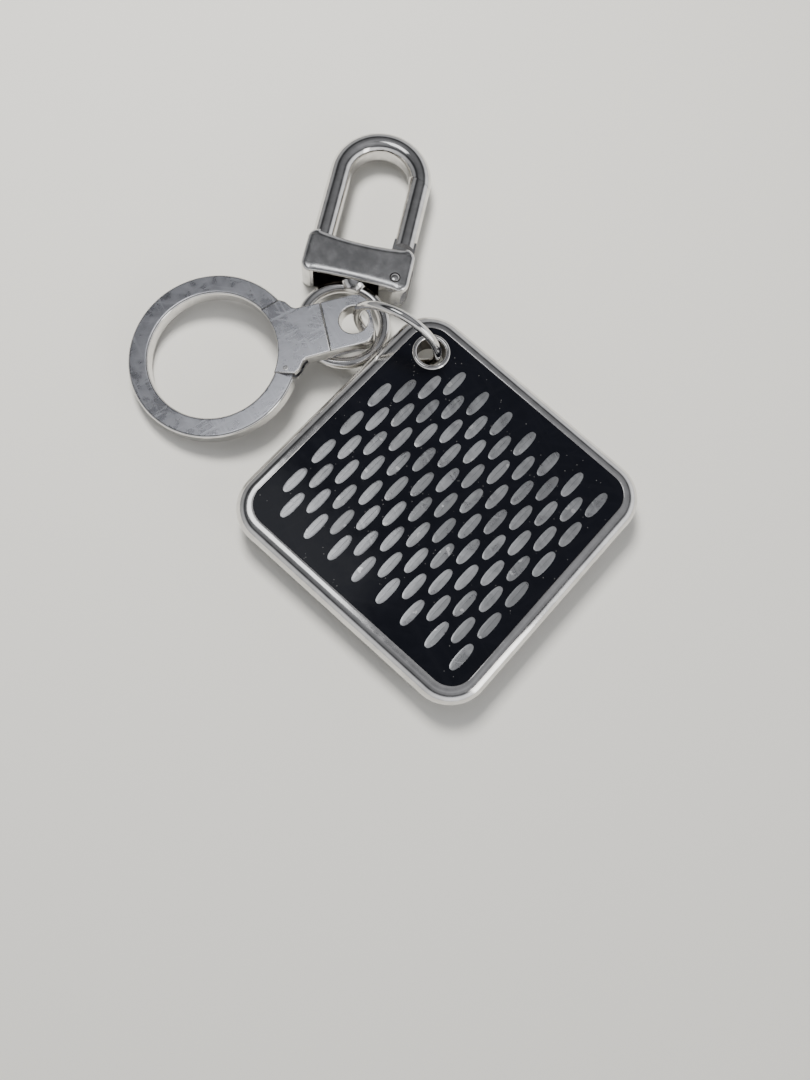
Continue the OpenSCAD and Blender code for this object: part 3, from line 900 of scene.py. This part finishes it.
    def eyelet_shell(self) -> Shell:
        """The eyelet: a sleeve with a rolled lip on the face and a flared end on the back.

        Returns:
            The closed surface.
        """
        top, low = self.face_top, self.low[2]
        roll = self.hole + self.lip_roll
        lip = arc(roll, top, self.lip_roll, 180, -20, 17)
        flare = arc(self.hole + self.flare, low + self.flare, self.flare, 270, 180, 13)
        sleeve, rim = self.hole + self.wall, self.hole + self.flare + self.flare_edge
        outer = np.array([[sleeve, top - self.panel], [sleeve, low + self.flare],
                          [rim, low + self.flare], [rim, low]])
        x, y = self.eyelet_at()
        shell = revolved(np.vstack([flare, lip, outer]), 96)
        centres = np.array([shell.points[list(face)].mean(0) for face in shell.faces])
        # faces inside the eyelet's hole take the hollow finish: painted shade
        inside = (np.hypot(centres[:, 0], centres[:, 1]) < self.hole + 0.12) & (centres[:, 2] < top - 0.05)
        shell.finish = inside.astype(int).tolist()
        return shell.placed(plain_place(x, y))

    def build(self) -> None:
        """Builds and dresses the whole tag."""
        bench = self.bench
        bench.piece("tag_rim", self.frame_shell().joined(self.flange_shell()), [Finishes.POLISHED], "tag",
                    "polished_metal", ["tag_frame"])
        ovals, centres = self.oval_shell()
        item = bench.piece("oval_field", ovals, [Finishes.INLAY], "tag", "inlay_metal", ["inlay_plate"], 50.0)
        self.add_tone(item, len(centres))
        bench.piece("inlay_base", self.base_shell(), [Finishes.SATIN], "tag", "inlay_metal")
        bench.piece("black_face", self.panel_shell(), [Finishes.BLACK], "tag", "black_face", ["face_panel"])
        bench.piece("eyelet_sleeve", self.eyelet_shell(), [Finishes.POLISHED, Finishes.HOLLOW_SHADE], "tag",
                    "polished_metal", ["eyelet"], 60.0)
        for node, finish in {
            "back_cover": Finishes.COVER, "cover_gasket": Finishes.RUBBER,
            "cover_screws": Finishes.POLISHED, "circuit_board": Finishes.BOARD, "radio_shield": Finishes.CELL,
            "board_chips": Finishes.CHIP, "battery_carrier": Finishes.CARRIER, "coin_cell": Finishes.CELL,
            "contact_positive": Finishes.BRASS, "contact_negative": Finishes.BRASS, "antenna": Finishes.BRASS,
            "sounder_disc": Finishes.BRASS, "sounder_crystal": Finishes.CERAMIC,
        }.items():
            bench.dress(node, finish)


# ---------------------------------------------------------------- jump ring


@dataclass
class JumpRing:
    """The thin wire ring that joins the links to the tag. Sizes in millimetres."""

    bench: Bench
    mean: float = 7.2
    wire: float = 0.7
    cut: float = 0.35
    cut_at: float = 250.0

    def shell(self) -> Shell:
        """A circle of wire with a fine cut, standing in the plane of the eyelet and the tail's hole.

        Returns:
            The ring's surface.
        """
        low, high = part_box("jump_ring")
        centre = (np.array(low) + np.array(high)) / 2 / MM
        reach = joint_point("key_swing")[:2] - centre[:2]
        along = -reach / np.linalg.norm(reach)
        turn = np.radians(np.linspace(self.cut_at + self.cut, self.cut_at + 360 - self.cut, 161))[:, None]
        round_wire = np.linspace(0, 2 * math.pi, 24, endpoint=False)[None, :]
        radius = self.mean + self.wire * np.cos(round_wire)
        flat = radius * np.cos(turn)
        rings = np.stack([
            centre[0] + flat * along[0] - self.wire * np.sin(round_wire) * along[1],
            centre[1] + flat * along[1] + self.wire * np.sin(round_wire) * along[0],
            centre[2] + radius * np.sin(turn),
        ], -1)
        return tube(rings)

    def build(self) -> None:
        """Builds the ring."""
        self.bench.piece("jump_ring_wire", self.shell(), [Finishes.POLISHED], "jump_link", "polished_metal",
                         ["jump_ring"])


# ---------------------------------------------------------------- key ring


@dataclass
class KeyRing:
    """The flat opening ring with its bridge and tail. Sizes in millimetres, in the ring's own frame."""

    bench: Bench
    inner: float = 10.5
    width: float = 3.3
    thick: float = 2.8
    edge: float = 0.45
    seam: float = 0.06
    joint_angle: float = 29.3
    joint_lean: float = 17.0
    pin_angle: float = 25.4
    pin: float = 0.5
    open_angle: float = 32.0
    tongue: float = 1.0
    tongue_r: float = 1.2
    neck: float = 4.7
    tail: float = 4.6
    tail_half: float = 4.25
    hole: float = 2.35
    web: float = 0.6
    tail_round: float = 2.4
    neck_extra: float = 0.25

    @property
    def outer(self) -> float:
        """The ring's outside radius."""
        return self.inner + self.width

    @property
    def middle(self) -> float:
        """The radius at the middle of the ring's section."""
        return self.inner + self.width / 2

    @property
    def pin_at(self) -> np.ndarray:
        """The hinge pin's place in the ring's plane."""
        angle = math.radians(self.pin_angle)
        return np.array([self.middle * math.cos(angle), -self.middle * math.sin(angle)])

    def place(self) -> Place:
        """The ring's own frame, found from its hinge."""
        up = joint_axis("ring_hinge")
        tilt_dir = -up[:2] / np.linalg.norm(up[:2])
        side = np.array([-tilt_dir[1], tilt_dir[0], 0.0])
        along = np.cross(side, up)
        x, y = self.pin_at
        origin = joint_point("ring_hinge") - along * x - side * y - up * self.thick / 2
        return Place(origin, along, side, up)

    def face_angle(self, radius: np.ndarray, side: Side, gap: float) -> np.ndarray:
        """The angle at which a circle of each radius meets a joint face.

        Args:
            radius: the radii.
            side: which joint.
            gap: how far the face is moved from the bridge.

        Returns:
            Angles in degrees, measured away from the ring's axis.
        """
        lean = math.radians(self.joint_lean)
        angle = math.radians(self.joint_angle)
        offset = self.middle * math.sin(angle - lean) + gap
        plain = self.joint_lean + np.degrees(np.arcsin(offset / radius))
        if side is Side.UPPER:
            return plain
        turned = lean + math.radians(self.open_angle)
        from_pin = offset - self.middle * math.sin(math.radians(self.pin_angle) - lean)
        distance = from_pin + self.middle * math.sin(math.radians(self.pin_angle) - turned)
        relieved = math.degrees(turned) + np.degrees(np.arcsin(distance / radius))
        return np.maximum(plain, relieved)

    def hoop_shell(self) -> Shell:
        """The ring: a flat section with chamfered edges carried from one joint face round to the other.

        Returns:
            The hoop's surface; its flats have finish 0 and its walls and edges finish 1.
        """
        section = bar_outline(self.width, self.thick, self.edge, 7)
        radius = self.middle + section[:, 0]
        start = self.face_angle(radius, Side.UPPER, self.seam)
        end = 360 - self.face_angle(radius, Side.LOWER, self.seam)
        share = np.linspace(0, 1, 181)[:, None]
        angle = np.radians(start[None] + (end - start)[None] * share)
        height = np.broadcast_to(section[None, :, 1] + self.thick / 2, angle.shape)
        shell = tube(np.stack([radius * np.cos(angle), radius * np.sin(angle), height], -1))
        centres = np.array([shell.points[list(face)].mean(0) for face in shell.faces])
        flat = np.abs(centres[:, 2] - self.thick / 2) > self.thick / 2 - 0.02
        shell.finish = np.where(flat, 0, 1).tolist()
        return shell

    def tongue_shell(self) -> Shell:
        """The hinge tongue: a disc round the pin with a root that runs into the ring.

        Returns:
            The closed surface.
        """
        x, y = self.pin_at
        lean = -self.joint_angle - 3
        along = np.array([math.cos(math.radians(lean)), math.sin(math.radians(lean))])
        down = np.array([along[1], -along[0]])
        cap = arc(x, y, self.tongue_r, lean, lean + 180, 17)
        root = np.array([cap[-1] + down * 2.4, cap[0] + down * 2.4])
        low = (self.thick - self.tongue) / 2
        return slab([np.vstack([cap, root])], low, low + self.tongue)

    def arc_outline(self, radius: float, steps: int = 25) -> np.ndarray:
        """The bridge's arc at one radius, from the lower joint face to the upper."""
        end = float(self.face_angle(np.array([radius]), Side.UPPER, 0.0)[0])
        return arc(0, 0, radius, -end, end, steps)

    def bridge_outline(self, whole: bool) -> np.ndarray:
        """The bridge's plan: the ring's arc between the joints, and the neck that narrows to the tail.

        Args:
            whole: False leaves out the part that the hinge tongue needs.

        Returns:
            The outline, anticlockwise.
        """
        half, end = self.tail_half, self.outer + self.neck - self.seam
        flank = np.array([
            [self.outer + 0.7, half + 0.1],
            [self.outer + 0.1, half + self.neck_extra + 0.2],
            [self.outer * math.cos(math.radians(27)) + 0.8, self.outer * math.sin(math.radians(27)) - 0.4],
        ])
        upper_tip = self.arc_outline(self.outer)[-1:]
        inside = self.arc_outline(self.inner)[::-1]
        lower = flank[::-1] * [1, -1]
        lower_tip = self.arc_outline(self.outer)[:1]
        if not whole:
            shoulder = self.pin_at[1] + self.tongue_r + 0.15
            inside = inside[inside[:, 1] > shoulder]
            lower_tip = np.array([[self.outer + 0.3, shoulder]])
            lower = lower[-1:]
        return np.vstack([[[end, -half], [end, half]], flank, upper_tip, inside, lower_tip, lower])

    def bridge_shell(self) -> Shell:
        """The bridge: two cheeks with the hinge slot between them.

        Returns:
            The closed surface.
        """
        low = (self.thick - self.tongue) / 2 - 0.03
        high = self.thick - low
        bottom = slab([self.bridge_outline(True)], 0, low, low=0.3)
        core = slab([self.bridge_outline(False)], low, high)
        top = slab([self.bridge_outline(True)], high, self.thick, high=0.12, spread=1.2)
        return bottom.joined(core).joined(top)

    def tail_shell(self) -> Shell:
        """The tail: a rounded tongue of the same thickness, with the hole for the jump ring.

        Returns:
            The closed surface.
        """
        start = self.outer + self.neck
        reach = start + self.tail
        end = reach + self.hole + self.web
        half, r = self.tail_half, self.tail_round
        outline = np.vstack([
            [[start, -half]],
            arc(end - r, -half + r, r, 270, 360, 13),
            arc(end - r, half - r, r, 0, 90, 13),
            [[start, half]],
        ])
        hole = circle(reach, 0, self.hole, 64, clockwise=True)
        return slab([outline, hole], 0, self.thick, 0.2, 0.12, spread=1.2)

    def build(self) -> None:
        """Builds the ring, its bridge, its tail and the hinge's pin."""
        place, bench = self.place(), self.bench
        metal = [Finishes.SATIN, Finishes.POLISHED]
        bench.piece("ring_hoop", self.hoop_shell().placed(place), metal, "opening_ring", "satin_metal",
                    ["key_ring"], 28.0)
        bench.piece("ring_tongue", self.tongue_shell().placed(place), metal, "opening_ring", "satin_metal")
        bench.piece("ring_bridge_plate", self.bridge_shell().placed(place), metal, "ring_holder", "satin_metal",
                    ["ring_bridge"], 40.0)
        bench.piece("ring_tail_plate", self.tail_shell().placed(place), metal, "ring_holder", "satin_metal",
                    ["ring_tail"], 40.0)
        x, y = self.pin_at
        pin = slab([circle(x, y, self.pin, 32)], 0, self.thick + 0.05, 0.1, 0.15)
        bench.piece("hinge_pin_head", pin.placed(place), [Finishes.POLISHED], "ring_holder", "polished_metal",
                    ["ring_hinge_pin"])
        bench.dress("tail_dowel", Finishes.SATIN)


# ---------------------------------------------------------------- clasp


@dataclass
class Clasp:
    """The swivel snap clasp: eye, block, bail and gate. Sizes in millimetres, in the clasp's own frame."""

    bench: Bench
    eye: float = 6.75
    eye_wire: float = 1.0
    stem: float = 1.3
    hub: float = 2.3
    boss: float = 1.5
    washer: float = 0.5
    fit: float = 0.05
    block_thick: float = 6.3
    block_len: float = 7.9
    bail_half: float = 8.6
    bail_w: float = 3.7
    bail_t: float = 5.0
    bail_round: float = 1.75
    bail_len: float = 21.4
    block_extra: float = 0.35
    dish: float = 0.45
    waist: float = 0.85
    block_round: float = 1.8
    recess: float = 5.0
    slot: float = 3.7
    rivet: float = 0.75
    knuckle: float = 1.85
    foot: float = 6.7
    seam_lean: float = 23.0
    seam: float = 0.06
    seam_out: float = 0.5
    block_in: float = 1.1
    edge_low: float = 0.6
    edge_high: float = 0.62
    edge_spread: float = 1.9
    recess_low: float = -4.3
    recess_high: float = 6.7
    slot_room: float = 0.15
    slot_step: float = 1.6
    pivot_in: float = 2.1
    pivot_up: float = 0.2
    rivet_rise: float = 0.1
    rivet_dome: float = 0.35

    @property
    def block_x(self) -> float:
        """Where the block starts along the clasp's axis."""
        return self.eye + self.eye_wire - self.block_in

    @property
    def block_top(self) -> float:
        """Where the block ends."""
        return self.block_x + self.block_len

    @property
    def block_half(self) -> float:
        """Half the block's width."""
        return self.bail_half + self.block_extra

    @property
    def bail_mid(self) -> float:
        """Distance of the bail's bar from the axis."""
        return self.bail_half - self.bail_w / 2

    @property
    def bail_c(self) -> float:
        """Where the bail's round end is centred."""
        return self.block_top + self.bail_len - self.bail_half

    @property
    def seam_x(self) -> float:
        """Where the gate's slanted seam crosses the bar's middle."""
        return self.bail_c + self.seam_out

    @property
    def pivot(self) -> np.ndarray:
        """The gate's rivet in plan."""
        return np.array([self.block_x + self.pivot_in, -self.bail_mid + self.pivot_up])

    @property
    def web_x(self) -> float:
        """The far wall of the recess that the swivel turns in."""
        return self.eye + self.eye_wire + self.boss + self.washer + 2 * self.fit

    def place(self) -> Place:
        """The clasp's own frame: X along its axis, Z up, from the eye's centre."""
        along = joint_axis("clasp_swivel")
        up = np.array([0.0, 0.0, 1.0])
        return Place(joint_point("eye_swing"), along, np.cross(up, along), up)

    def dished(self, y: np.ndarray, front: bool) -> np.ndarray:
        """The block's long edges, each a shallow arc that curves in at the middle.

        Args:
            y: positions across the block.
            front: True for the edge by the eye.

        Returns:
            Positions along the clasp.
        """
        depth = self.dish if front else self.waist
        bend = self.block_half**2 / (2 * depth)
        sag = depth - (bend - np.sqrt(bend**2 - y**2))
        return self.block_x + sag if front else self.block_top - sag

    def block_outline(self, notch: bool, gate_slot: bool) -> np.ndarray:
        """The block's plan, with or without the swivel's recess and the gate's slot.

        Args:
            notch: whether the recess is cut from the front.
            gate_slot: whether the gate's slot is cut from the side.

        Returns:
            The outline, anticlockwise.
        """
        half, r = self.block_half, self.block_round
        x0, x1 = self.block_x, self.block_top
        low_y, high_y = self.recess_low, self.recess_high
        back = np.linspace(-half + r, half - r, 25)
        front = back[::-1]
        front_edge = np.column_stack([self.dished(front, True), front])
        if notch:
            left = front_edge[front > high_y]
            right = front_edge[front < low_y]
            cut = np.array([[float(self.dished(np.array([high_y]), True)[0]), high_y], [self.web_x, high_y],
                            [self.web_x, low_y], [float(self.dished(np.array([low_y]), True)[0]), low_y]])
            front_edge = np.vstack([left, cut, right])
        back_edge = np.column_stack([self.dished(back, False), back])
        left_side = np.vstack([arc(x1 - r, half - r, r, 0, 90, 11), arc(x0 + r, half - r, r, 90, 180, 11)])
        if not gate_slot:
            near = arc(x0 + r, -half + r, r, 180, 270, 11)
            far = arc(x1 - r, -half + r, r, 270, 360, 11)
            return np.vstack([front_edge, near, far, back_edge, left_side])
        px, py = self.pivot
        wall = arc(px, py, self.knuckle + self.slot_room, 200, 90, 13)
        ceiling = py + self.bail_w / 2 + self.slot_room
        stop = float(self.dished(np.array([ceiling]), False)[0])
        opened = np.array([[stop, ceiling + self.slot_step]])
        keep = back_edge[back_edge[:, 1] > ceiling + self.slot_step]
        corner = np.array([[x0 + 0.3, -half + r], [px - self.knuckle - 0.1, -half + 0.9]])
        return np.vstack([front_edge, corner, wall, opened, keep, left_side])

    def block_shell(self) -> Shell:
        """The block: five slices, so that the swivel's recess and the gate's slot stay open.

        Returns:
            The closed surface.
        """
        half = self.block_thick / 2
        plain = self.block_outline(False, False)
        notched = self.block_outline(True, False)
        slotted = self.block_outline(True, True)
        shell = slab([plain], -half, -self.recess / 2, low=self.edge_low, spread=self.edge_spread)
        shell = shell.joined(slab([notched], -self.recess / 2, -self.slot / 2))
        shell = shell.joined(slab([slotted], -self.slot / 2, self.slot / 2))
        shell = shell.joined(slab([notched], self.slot / 2, self.recess / 2))
        shell = shell.joined(slab([plain], self.recess / 2, half, high=self.edge_high, spread=self.edge_spread))
        # faces inside the swivel's recess take the hollow finish: painted shade
        centres = np.array([shell.points[list(face)].mean(0) for face in shell.faces])
        inside = (np.abs(centres[:, 2]) < self.recess / 2 + 0.01) & (centres[:, 0] > self.block_x + 0.5)
        inside &= (centres[:, 1] > self.recess_low - 0.1) & (centres[:, 1] < self.recess_high + 0.1)
        shell.finish = inside.astype(int).tolist()
        return shell

    def bail_shell(self) -> Shell:
        """The bail: an oval bar carried up the left leg and round the end, to the slanted seam.

        Returns:
            The bail's surface.
        """
        section = bar_outline(self.bail_w, self.bail_t, self.bail_round)
        radius = self.bail_mid + section[:, 0]
        lean = math.radians(self.seam_lean)
        reach = math.cos(lean) * (self.seam_x - self.bail_c) + math.sin(lean) * self.bail_mid
        start = np.degrees(np.arcsin(reach / radius)) - self.seam_lean
        share = np.linspace(0, 1, 97)[:, None]
        angle = np.radians(start[None] + (180 - start)[None] * share)
        height = np.broadcast_to(section[None, :, 1], angle.shape)
        bow = np.stack([self.bail_c + radius * np.sin(angle), -radius * np.cos(angle), height], -1)
        leg_x = np.linspace(self.bail_c, self.block_top - 2, 12)[1:, None]
        shape = (len(leg_x), len(radius))
        leg = np.stack([np.broadcast_to(leg_x, shape), np.broadcast_to(radius, shape),
                        np.broadcast_to(section[:, 1], shape)], -1)
        return tube(np.concatenate([bow, leg]))

    def gate_shell(self) -> Shell:
        """The gate: an oval bar from its round foot to the slanted seam, and the arm that hangs on the rivet.

        Returns:
            The closed surface.
        """
        section = bar_outline(self.bail_w, self.bail_t, self.bail_round)
        y = -self.bail_mid - section[:, 0]
        px, py = self.pivot
        start = px + np.sqrt(self.foot**2 - (y - py) ** 2)
        end = self.seam_x - self.seam + (y + self.bail_mid) * math.tan(math.radians(self.seam_lean))
        x = start[None] + (end - start)[None] * np.linspace(0, 1, 30)[:, None]
        bar = tube(np.stack([x, np.broadcast_to(y, x.shape), np.broadcast_to(section[:, 1], x.shape)], -1))
        side = self.bail_half - self.bail_w
        hook = arc(px, py, self.knuckle, 90, 270, 17)
        arm = np.vstack([hook, [[px + 0.1, -self.bail_half], [px + self.foot + 1, -self.bail_half],
                                [px + self.foot + 1, -side]]])
        return bar.joined(slab([arm], -self.slot / 2 + 0.05, self.slot / 2 - 0.05))

    def rivet_shell(self) -> Shell:
        """The rivet: a domed head on each face of the block.

        Returns:
            The closed surface.
        """
        half = self.block_thick / 2
        seat = half - self.rivet_rise
        dome = arc(0, seat, self.rivet, 90, 0, 9)
        upper = np.column_stack([dome[:, 0], seat + (dome[:, 1] - seat) * self.rivet_dome])
        upper[0, 0] = 0.001
        lower = upper[::-1] * [1, -1]
        lower[:, 1] = np.maximum(lower[:, 1], -half)
        px, py = self.pivot
        return revolved(np.vstack([upper, lower]), 32).placed(plain_place(px, py))

    def groove_shade_shell(self) -> Shell:
        """The dark line round the rivet's head: a thin ring coloured as painted shade for the groove.

        Returns:
            The closed surface.
        """
        px, py = self.pivot
        top = self.block_thick / 2
        ring = [circle(0, 0, self.rivet + 0.14, 40), circle(0, 0, self.rivet - 0.05, 40, clockwise=True)]
        return slab(ring, top - 0.2, top + 0.012).placed(plain_place(px, py))

    def eye_shell(self) -> Shell:
        """The eye's round wire.

        Returns:
            The closed surface.
        """
        around = np.linspace(0, 2 * math.pi, 32, endpoint=False)
        profile = np.column_stack([self.eye + self.eye_wire * np.cos(around), self.eye_wire * np.sin(around)])
        return revolved(profile, 128)

    def hub_shell(self) -> Shell:
        """The eye's hub: a barrel with a waist and a rounded shoulder, turned about the clasp's axis.

        Returns:
            The closed surface.
        """
        end = self.eye + self.eye_wire + self.boss
        root = self.eye - 0.9
        shoulder = arc(end - 0.5, self.hub - 0.5, 0.5, 90, 0, 9)
        body = np.array([[root, 0.001], [root, 1.3], [root + 0.5, 1.8], [root + 1.2, self.hub - 0.1],
                         [root + 1.5, self.hub]])
        stem = np.array([[end, self.stem], [self.block_top - self.waist - 0.3, self.stem],
                         [self.block_top - self.waist - 0.3, self.stem + 0.45],
                         [self.block_top - self.waist + 0.25, self.stem + 0.45],
                         [self.block_top - self.waist + 0.3, 0.001]])
        outline = np.vstack([body, shoulder, stem])
        shell = revolved(outline[:, ::-1], 48)
        points = shell.points[:, [2, 0, 1]]
        return outward(Shell(points, shell.faces, shell.finish))

    def build(self) -> None:
        """Builds the eye, the block with its bail, the gate and the rivet."""
        place, bench = self.place(), self.bench
        metal = [Finishes.POLISHED]
        bench.piece("swivel_eye_wire", self.eye_shell().joined(self.hub_shell()).placed(place), metal, "eye",
                    "polished_metal", ["swivel_eye"])
        bench.dress("swivel_washer", Finishes.BRASS)
        bench.piece("clasp_block", self.block_shell().placed(place), [Finishes.BLOCK, Finishes.HOLLOW_SHADE], "clasp",
                    "polished_metal", ["clasp_body"], 40.0)
        bench.piece("clasp_bail", self.bail_shell().placed(place), metal, "clasp", "polished_metal")
        bench.piece("gate_bar", self.gate_shell().placed(place), metal, "gate", "polished_metal", ["clasp_gate"])
        bench.piece("rivet_head", self.rivet_shell().placed(place), metal, "clasp", "polished_metal",
                    ["gate_rivet"])
        bench.piece("rivet_groove_shade", self.groove_shade_shell().placed(place), [Finishes.GROOVE_SHADE], "clasp",
                    "polished_metal")
        bench.dress("gate_spring", Finishes.SPRING)


# ---------------------------------------------------------------- stage


@dataclass(frozen=True)
class Lamp:
    """A soft rectangular lamp, placed in millimetres; mirrored says whether reflections show it."""

    name: str
    at: tuple[float, float, float]
    aim: tuple[float, float, float]
    size: tuple[float, float]
    power: float
    colour: tuple[float, float, float] = (1.0, 1.0, 1.0)
    mirrored: bool = True


def aimed(at: Sequence[float], aim: Sequence[float], up: Sequence[float] = (0, 1, 0)) -> Matrix:
    """The turn and place, in metres, that looks from one point to another.

    Args:
        at: where it stands, in millimetres.
        aim: what it looks at, in millimetres.
        up: which way is up.

    Returns:
        A 4 by 4 matrix.
    """
    back = (Vector(at) - Vector(aim)).normalized()
    right = Vector(up).cross(back).normalized()
    axes = Matrix((right, back.cross(right), back)).transposed()
    return Matrix.Translation(Vector(at) * MM) @ axes.to_4x4()


@dataclass
class Studio:
    """The pale floor, the lamps and the camera. Places in millimetres."""

    camera_at: tuple[float, float, float] = (18.0, -42.6, 152.9)
    camera_aim: tuple[float, float, float] = (-0.5, -7.0, 0.0)
    camera_up: tuple[float, float, float] = (-0.66, 0.711, 0.245)
    lens: float = 33.33
    sensor: float = 36.0
    floor_half: float = 900.0
    lamps: tuple[Lamp, ...] = (
        Lamp("key", (-170.0, 95.0, 325.0), (0.0, 0.0, 0.0), (110.0, 110.0), 2.1, (1.0, 0.98, 0.94), False),
        Lamp("overhead", (-110.0, -20.0, 340.0), (0.0, 0.0, 0.0), (150.0, 150.0), 0.16, (0.95, 0.97, 1.0)),
        Lamp("side", (330.0, 20.0, 70.0), (0.0, 0.0, 0.0), (420.0, 110.0), 0.4, (1.0, 0.99, 0.97)),
    )
    sky: tuple[float, float, float] = (0.92, 0.94, 1.0)
    sky_bands: tuple[tuple[float, float], ...] = (
        (0.0, 0.8), (0.25, 1.15), (0.48, 1.1), (0.6, 0.06), (0.72, 0.06), (0.82, 0.32), (0.89, 0.22), (0.96, 0.5),
        (1.0, 0.25)
    )
    sky_left: float = 0.35
    sky_right: float = 1.5

    def add_lamp(self, lamp: Lamp) -> None:
        """Adds one lamp."""
        data = bpy.data.lights.new(lamp.name, "AREA")
        data.shape = "RECTANGLE"
        data.size, data.size_y = lamp.size[0] * MM, lamp.size[1] * MM
        data.energy = lamp.power
        data.color = lamp.colour
        item = bpy.data.objects.new(lamp.name, data)
        item.matrix_world = aimed(lamp.at, lamp.aim)
        item.visible_glossy = lamp.mirrored
        bpy.context.scene.collection.objects.link(item)

    def add_floor(self) -> None:
        """Adds the pale floor."""
        mesh = bpy.data.meshes.new("floor")
        half = self.floor_half * MM
        square = [(-half, -half, 0), (half, -half, 0), (half, half, 0), (-half, half, 0)]
        mesh.from_pydata(square, [], [(0, 1, 2, 3)])
        material = bpy.data.materials.new("floor_pale")
        material.use_nodes = True
        shader = material.node_tree.nodes["Principled BSDF"]
        shader.inputs["Base Color"].default_value = (0.72, 0.708, 0.665, 1.0)
        shader.inputs["Roughness"].default_value = 0.7
        mesh.materials.append(material)
        item = bpy.data.objects.new("floor", mesh)
        bpy.context.scene.collection.objects.link(item)
        item.location.z = -0.00002

    def add_sky(self) -> None:
        """Adds the room's soft light: bright walls near the horizon, a dark upper wall and a grey ceiling."""
        world = bpy.data.worlds.new("studio")
        world.use_nodes = True
        nodes = Nodes(world.node_tree)
        split = nodes.add("ShaderNodeSeparateXYZ")
        nodes.link(nodes.add("ShaderNodeTexCoord").outputs["Generated"], split.inputs["Vector"])
        ramp = nodes.add("ShaderNodeValToRGB")
        ramp.color_ramp.interpolation = "B_SPLINE"
        stops = ramp.color_ramp.elements
        for height, level in self.sky_bands[1:-1]:
            stops.new(height)
        for stop, (height, level) in zip(stops, self.sky_bands):
            stop.position = height
            stop.color = (*(level * c for c in self.sky), 1.0)
        nodes.link(split.outputs["Z"], ramp.inputs["Fac"])
        side = nodes.add("ShaderNodeMapRange")
        side.inputs["From Min"].default_value = -1.0
        side.inputs["To Min"].default_value = self.sky_left
        side.inputs["To Max"].default_value = self.sky_right
        nodes.link(split.outputs["X"], side.inputs["Value"])
        background = world.node_tree.nodes["Background"]
        nodes.link(ramp.outputs["Color"], background.inputs["Color"])
        nodes.link(side.outputs["Result"], background.inputs["Strength"])
        bpy.context.scene.world = world

    def build(self) -> None:
        """Sets up the floor, the sky, the lamps and the camera."""
        self.add_floor()
        for lamp in self.lamps:
            self.add_lamp(lamp)
        self.add_sky()
        data = bpy.data.cameras.new("camera")
        data.sensor_fit = "VERTICAL"
        data.sensor_height = self.sensor
        data.lens = self.lens
        data.clip_start = 0.005
        item = bpy.data.objects.new("camera", data)
        item.matrix_world = aimed(self.camera_at, self.camera_aim, self.camera_up)
        bpy.context.scene.collection.objects.link(item)
        bpy.context.scene.camera = item


def main() -> None:
    """Builds every sub-assembly in order."""
    logging.basicConfig(level=logging.INFO, format="%(name)s %(message)s")
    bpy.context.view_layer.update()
    bench = Bench(Workshop())
    for part in (Tag(bench), JumpRing(bench), KeyRing(bench), Clasp(bench), Studio()):
        LOG.info("building %s", type(part).__name__)
        part.build()
    LOG.info("%d new pieces", bench.count)


if __name__ == "__main__":
    main()
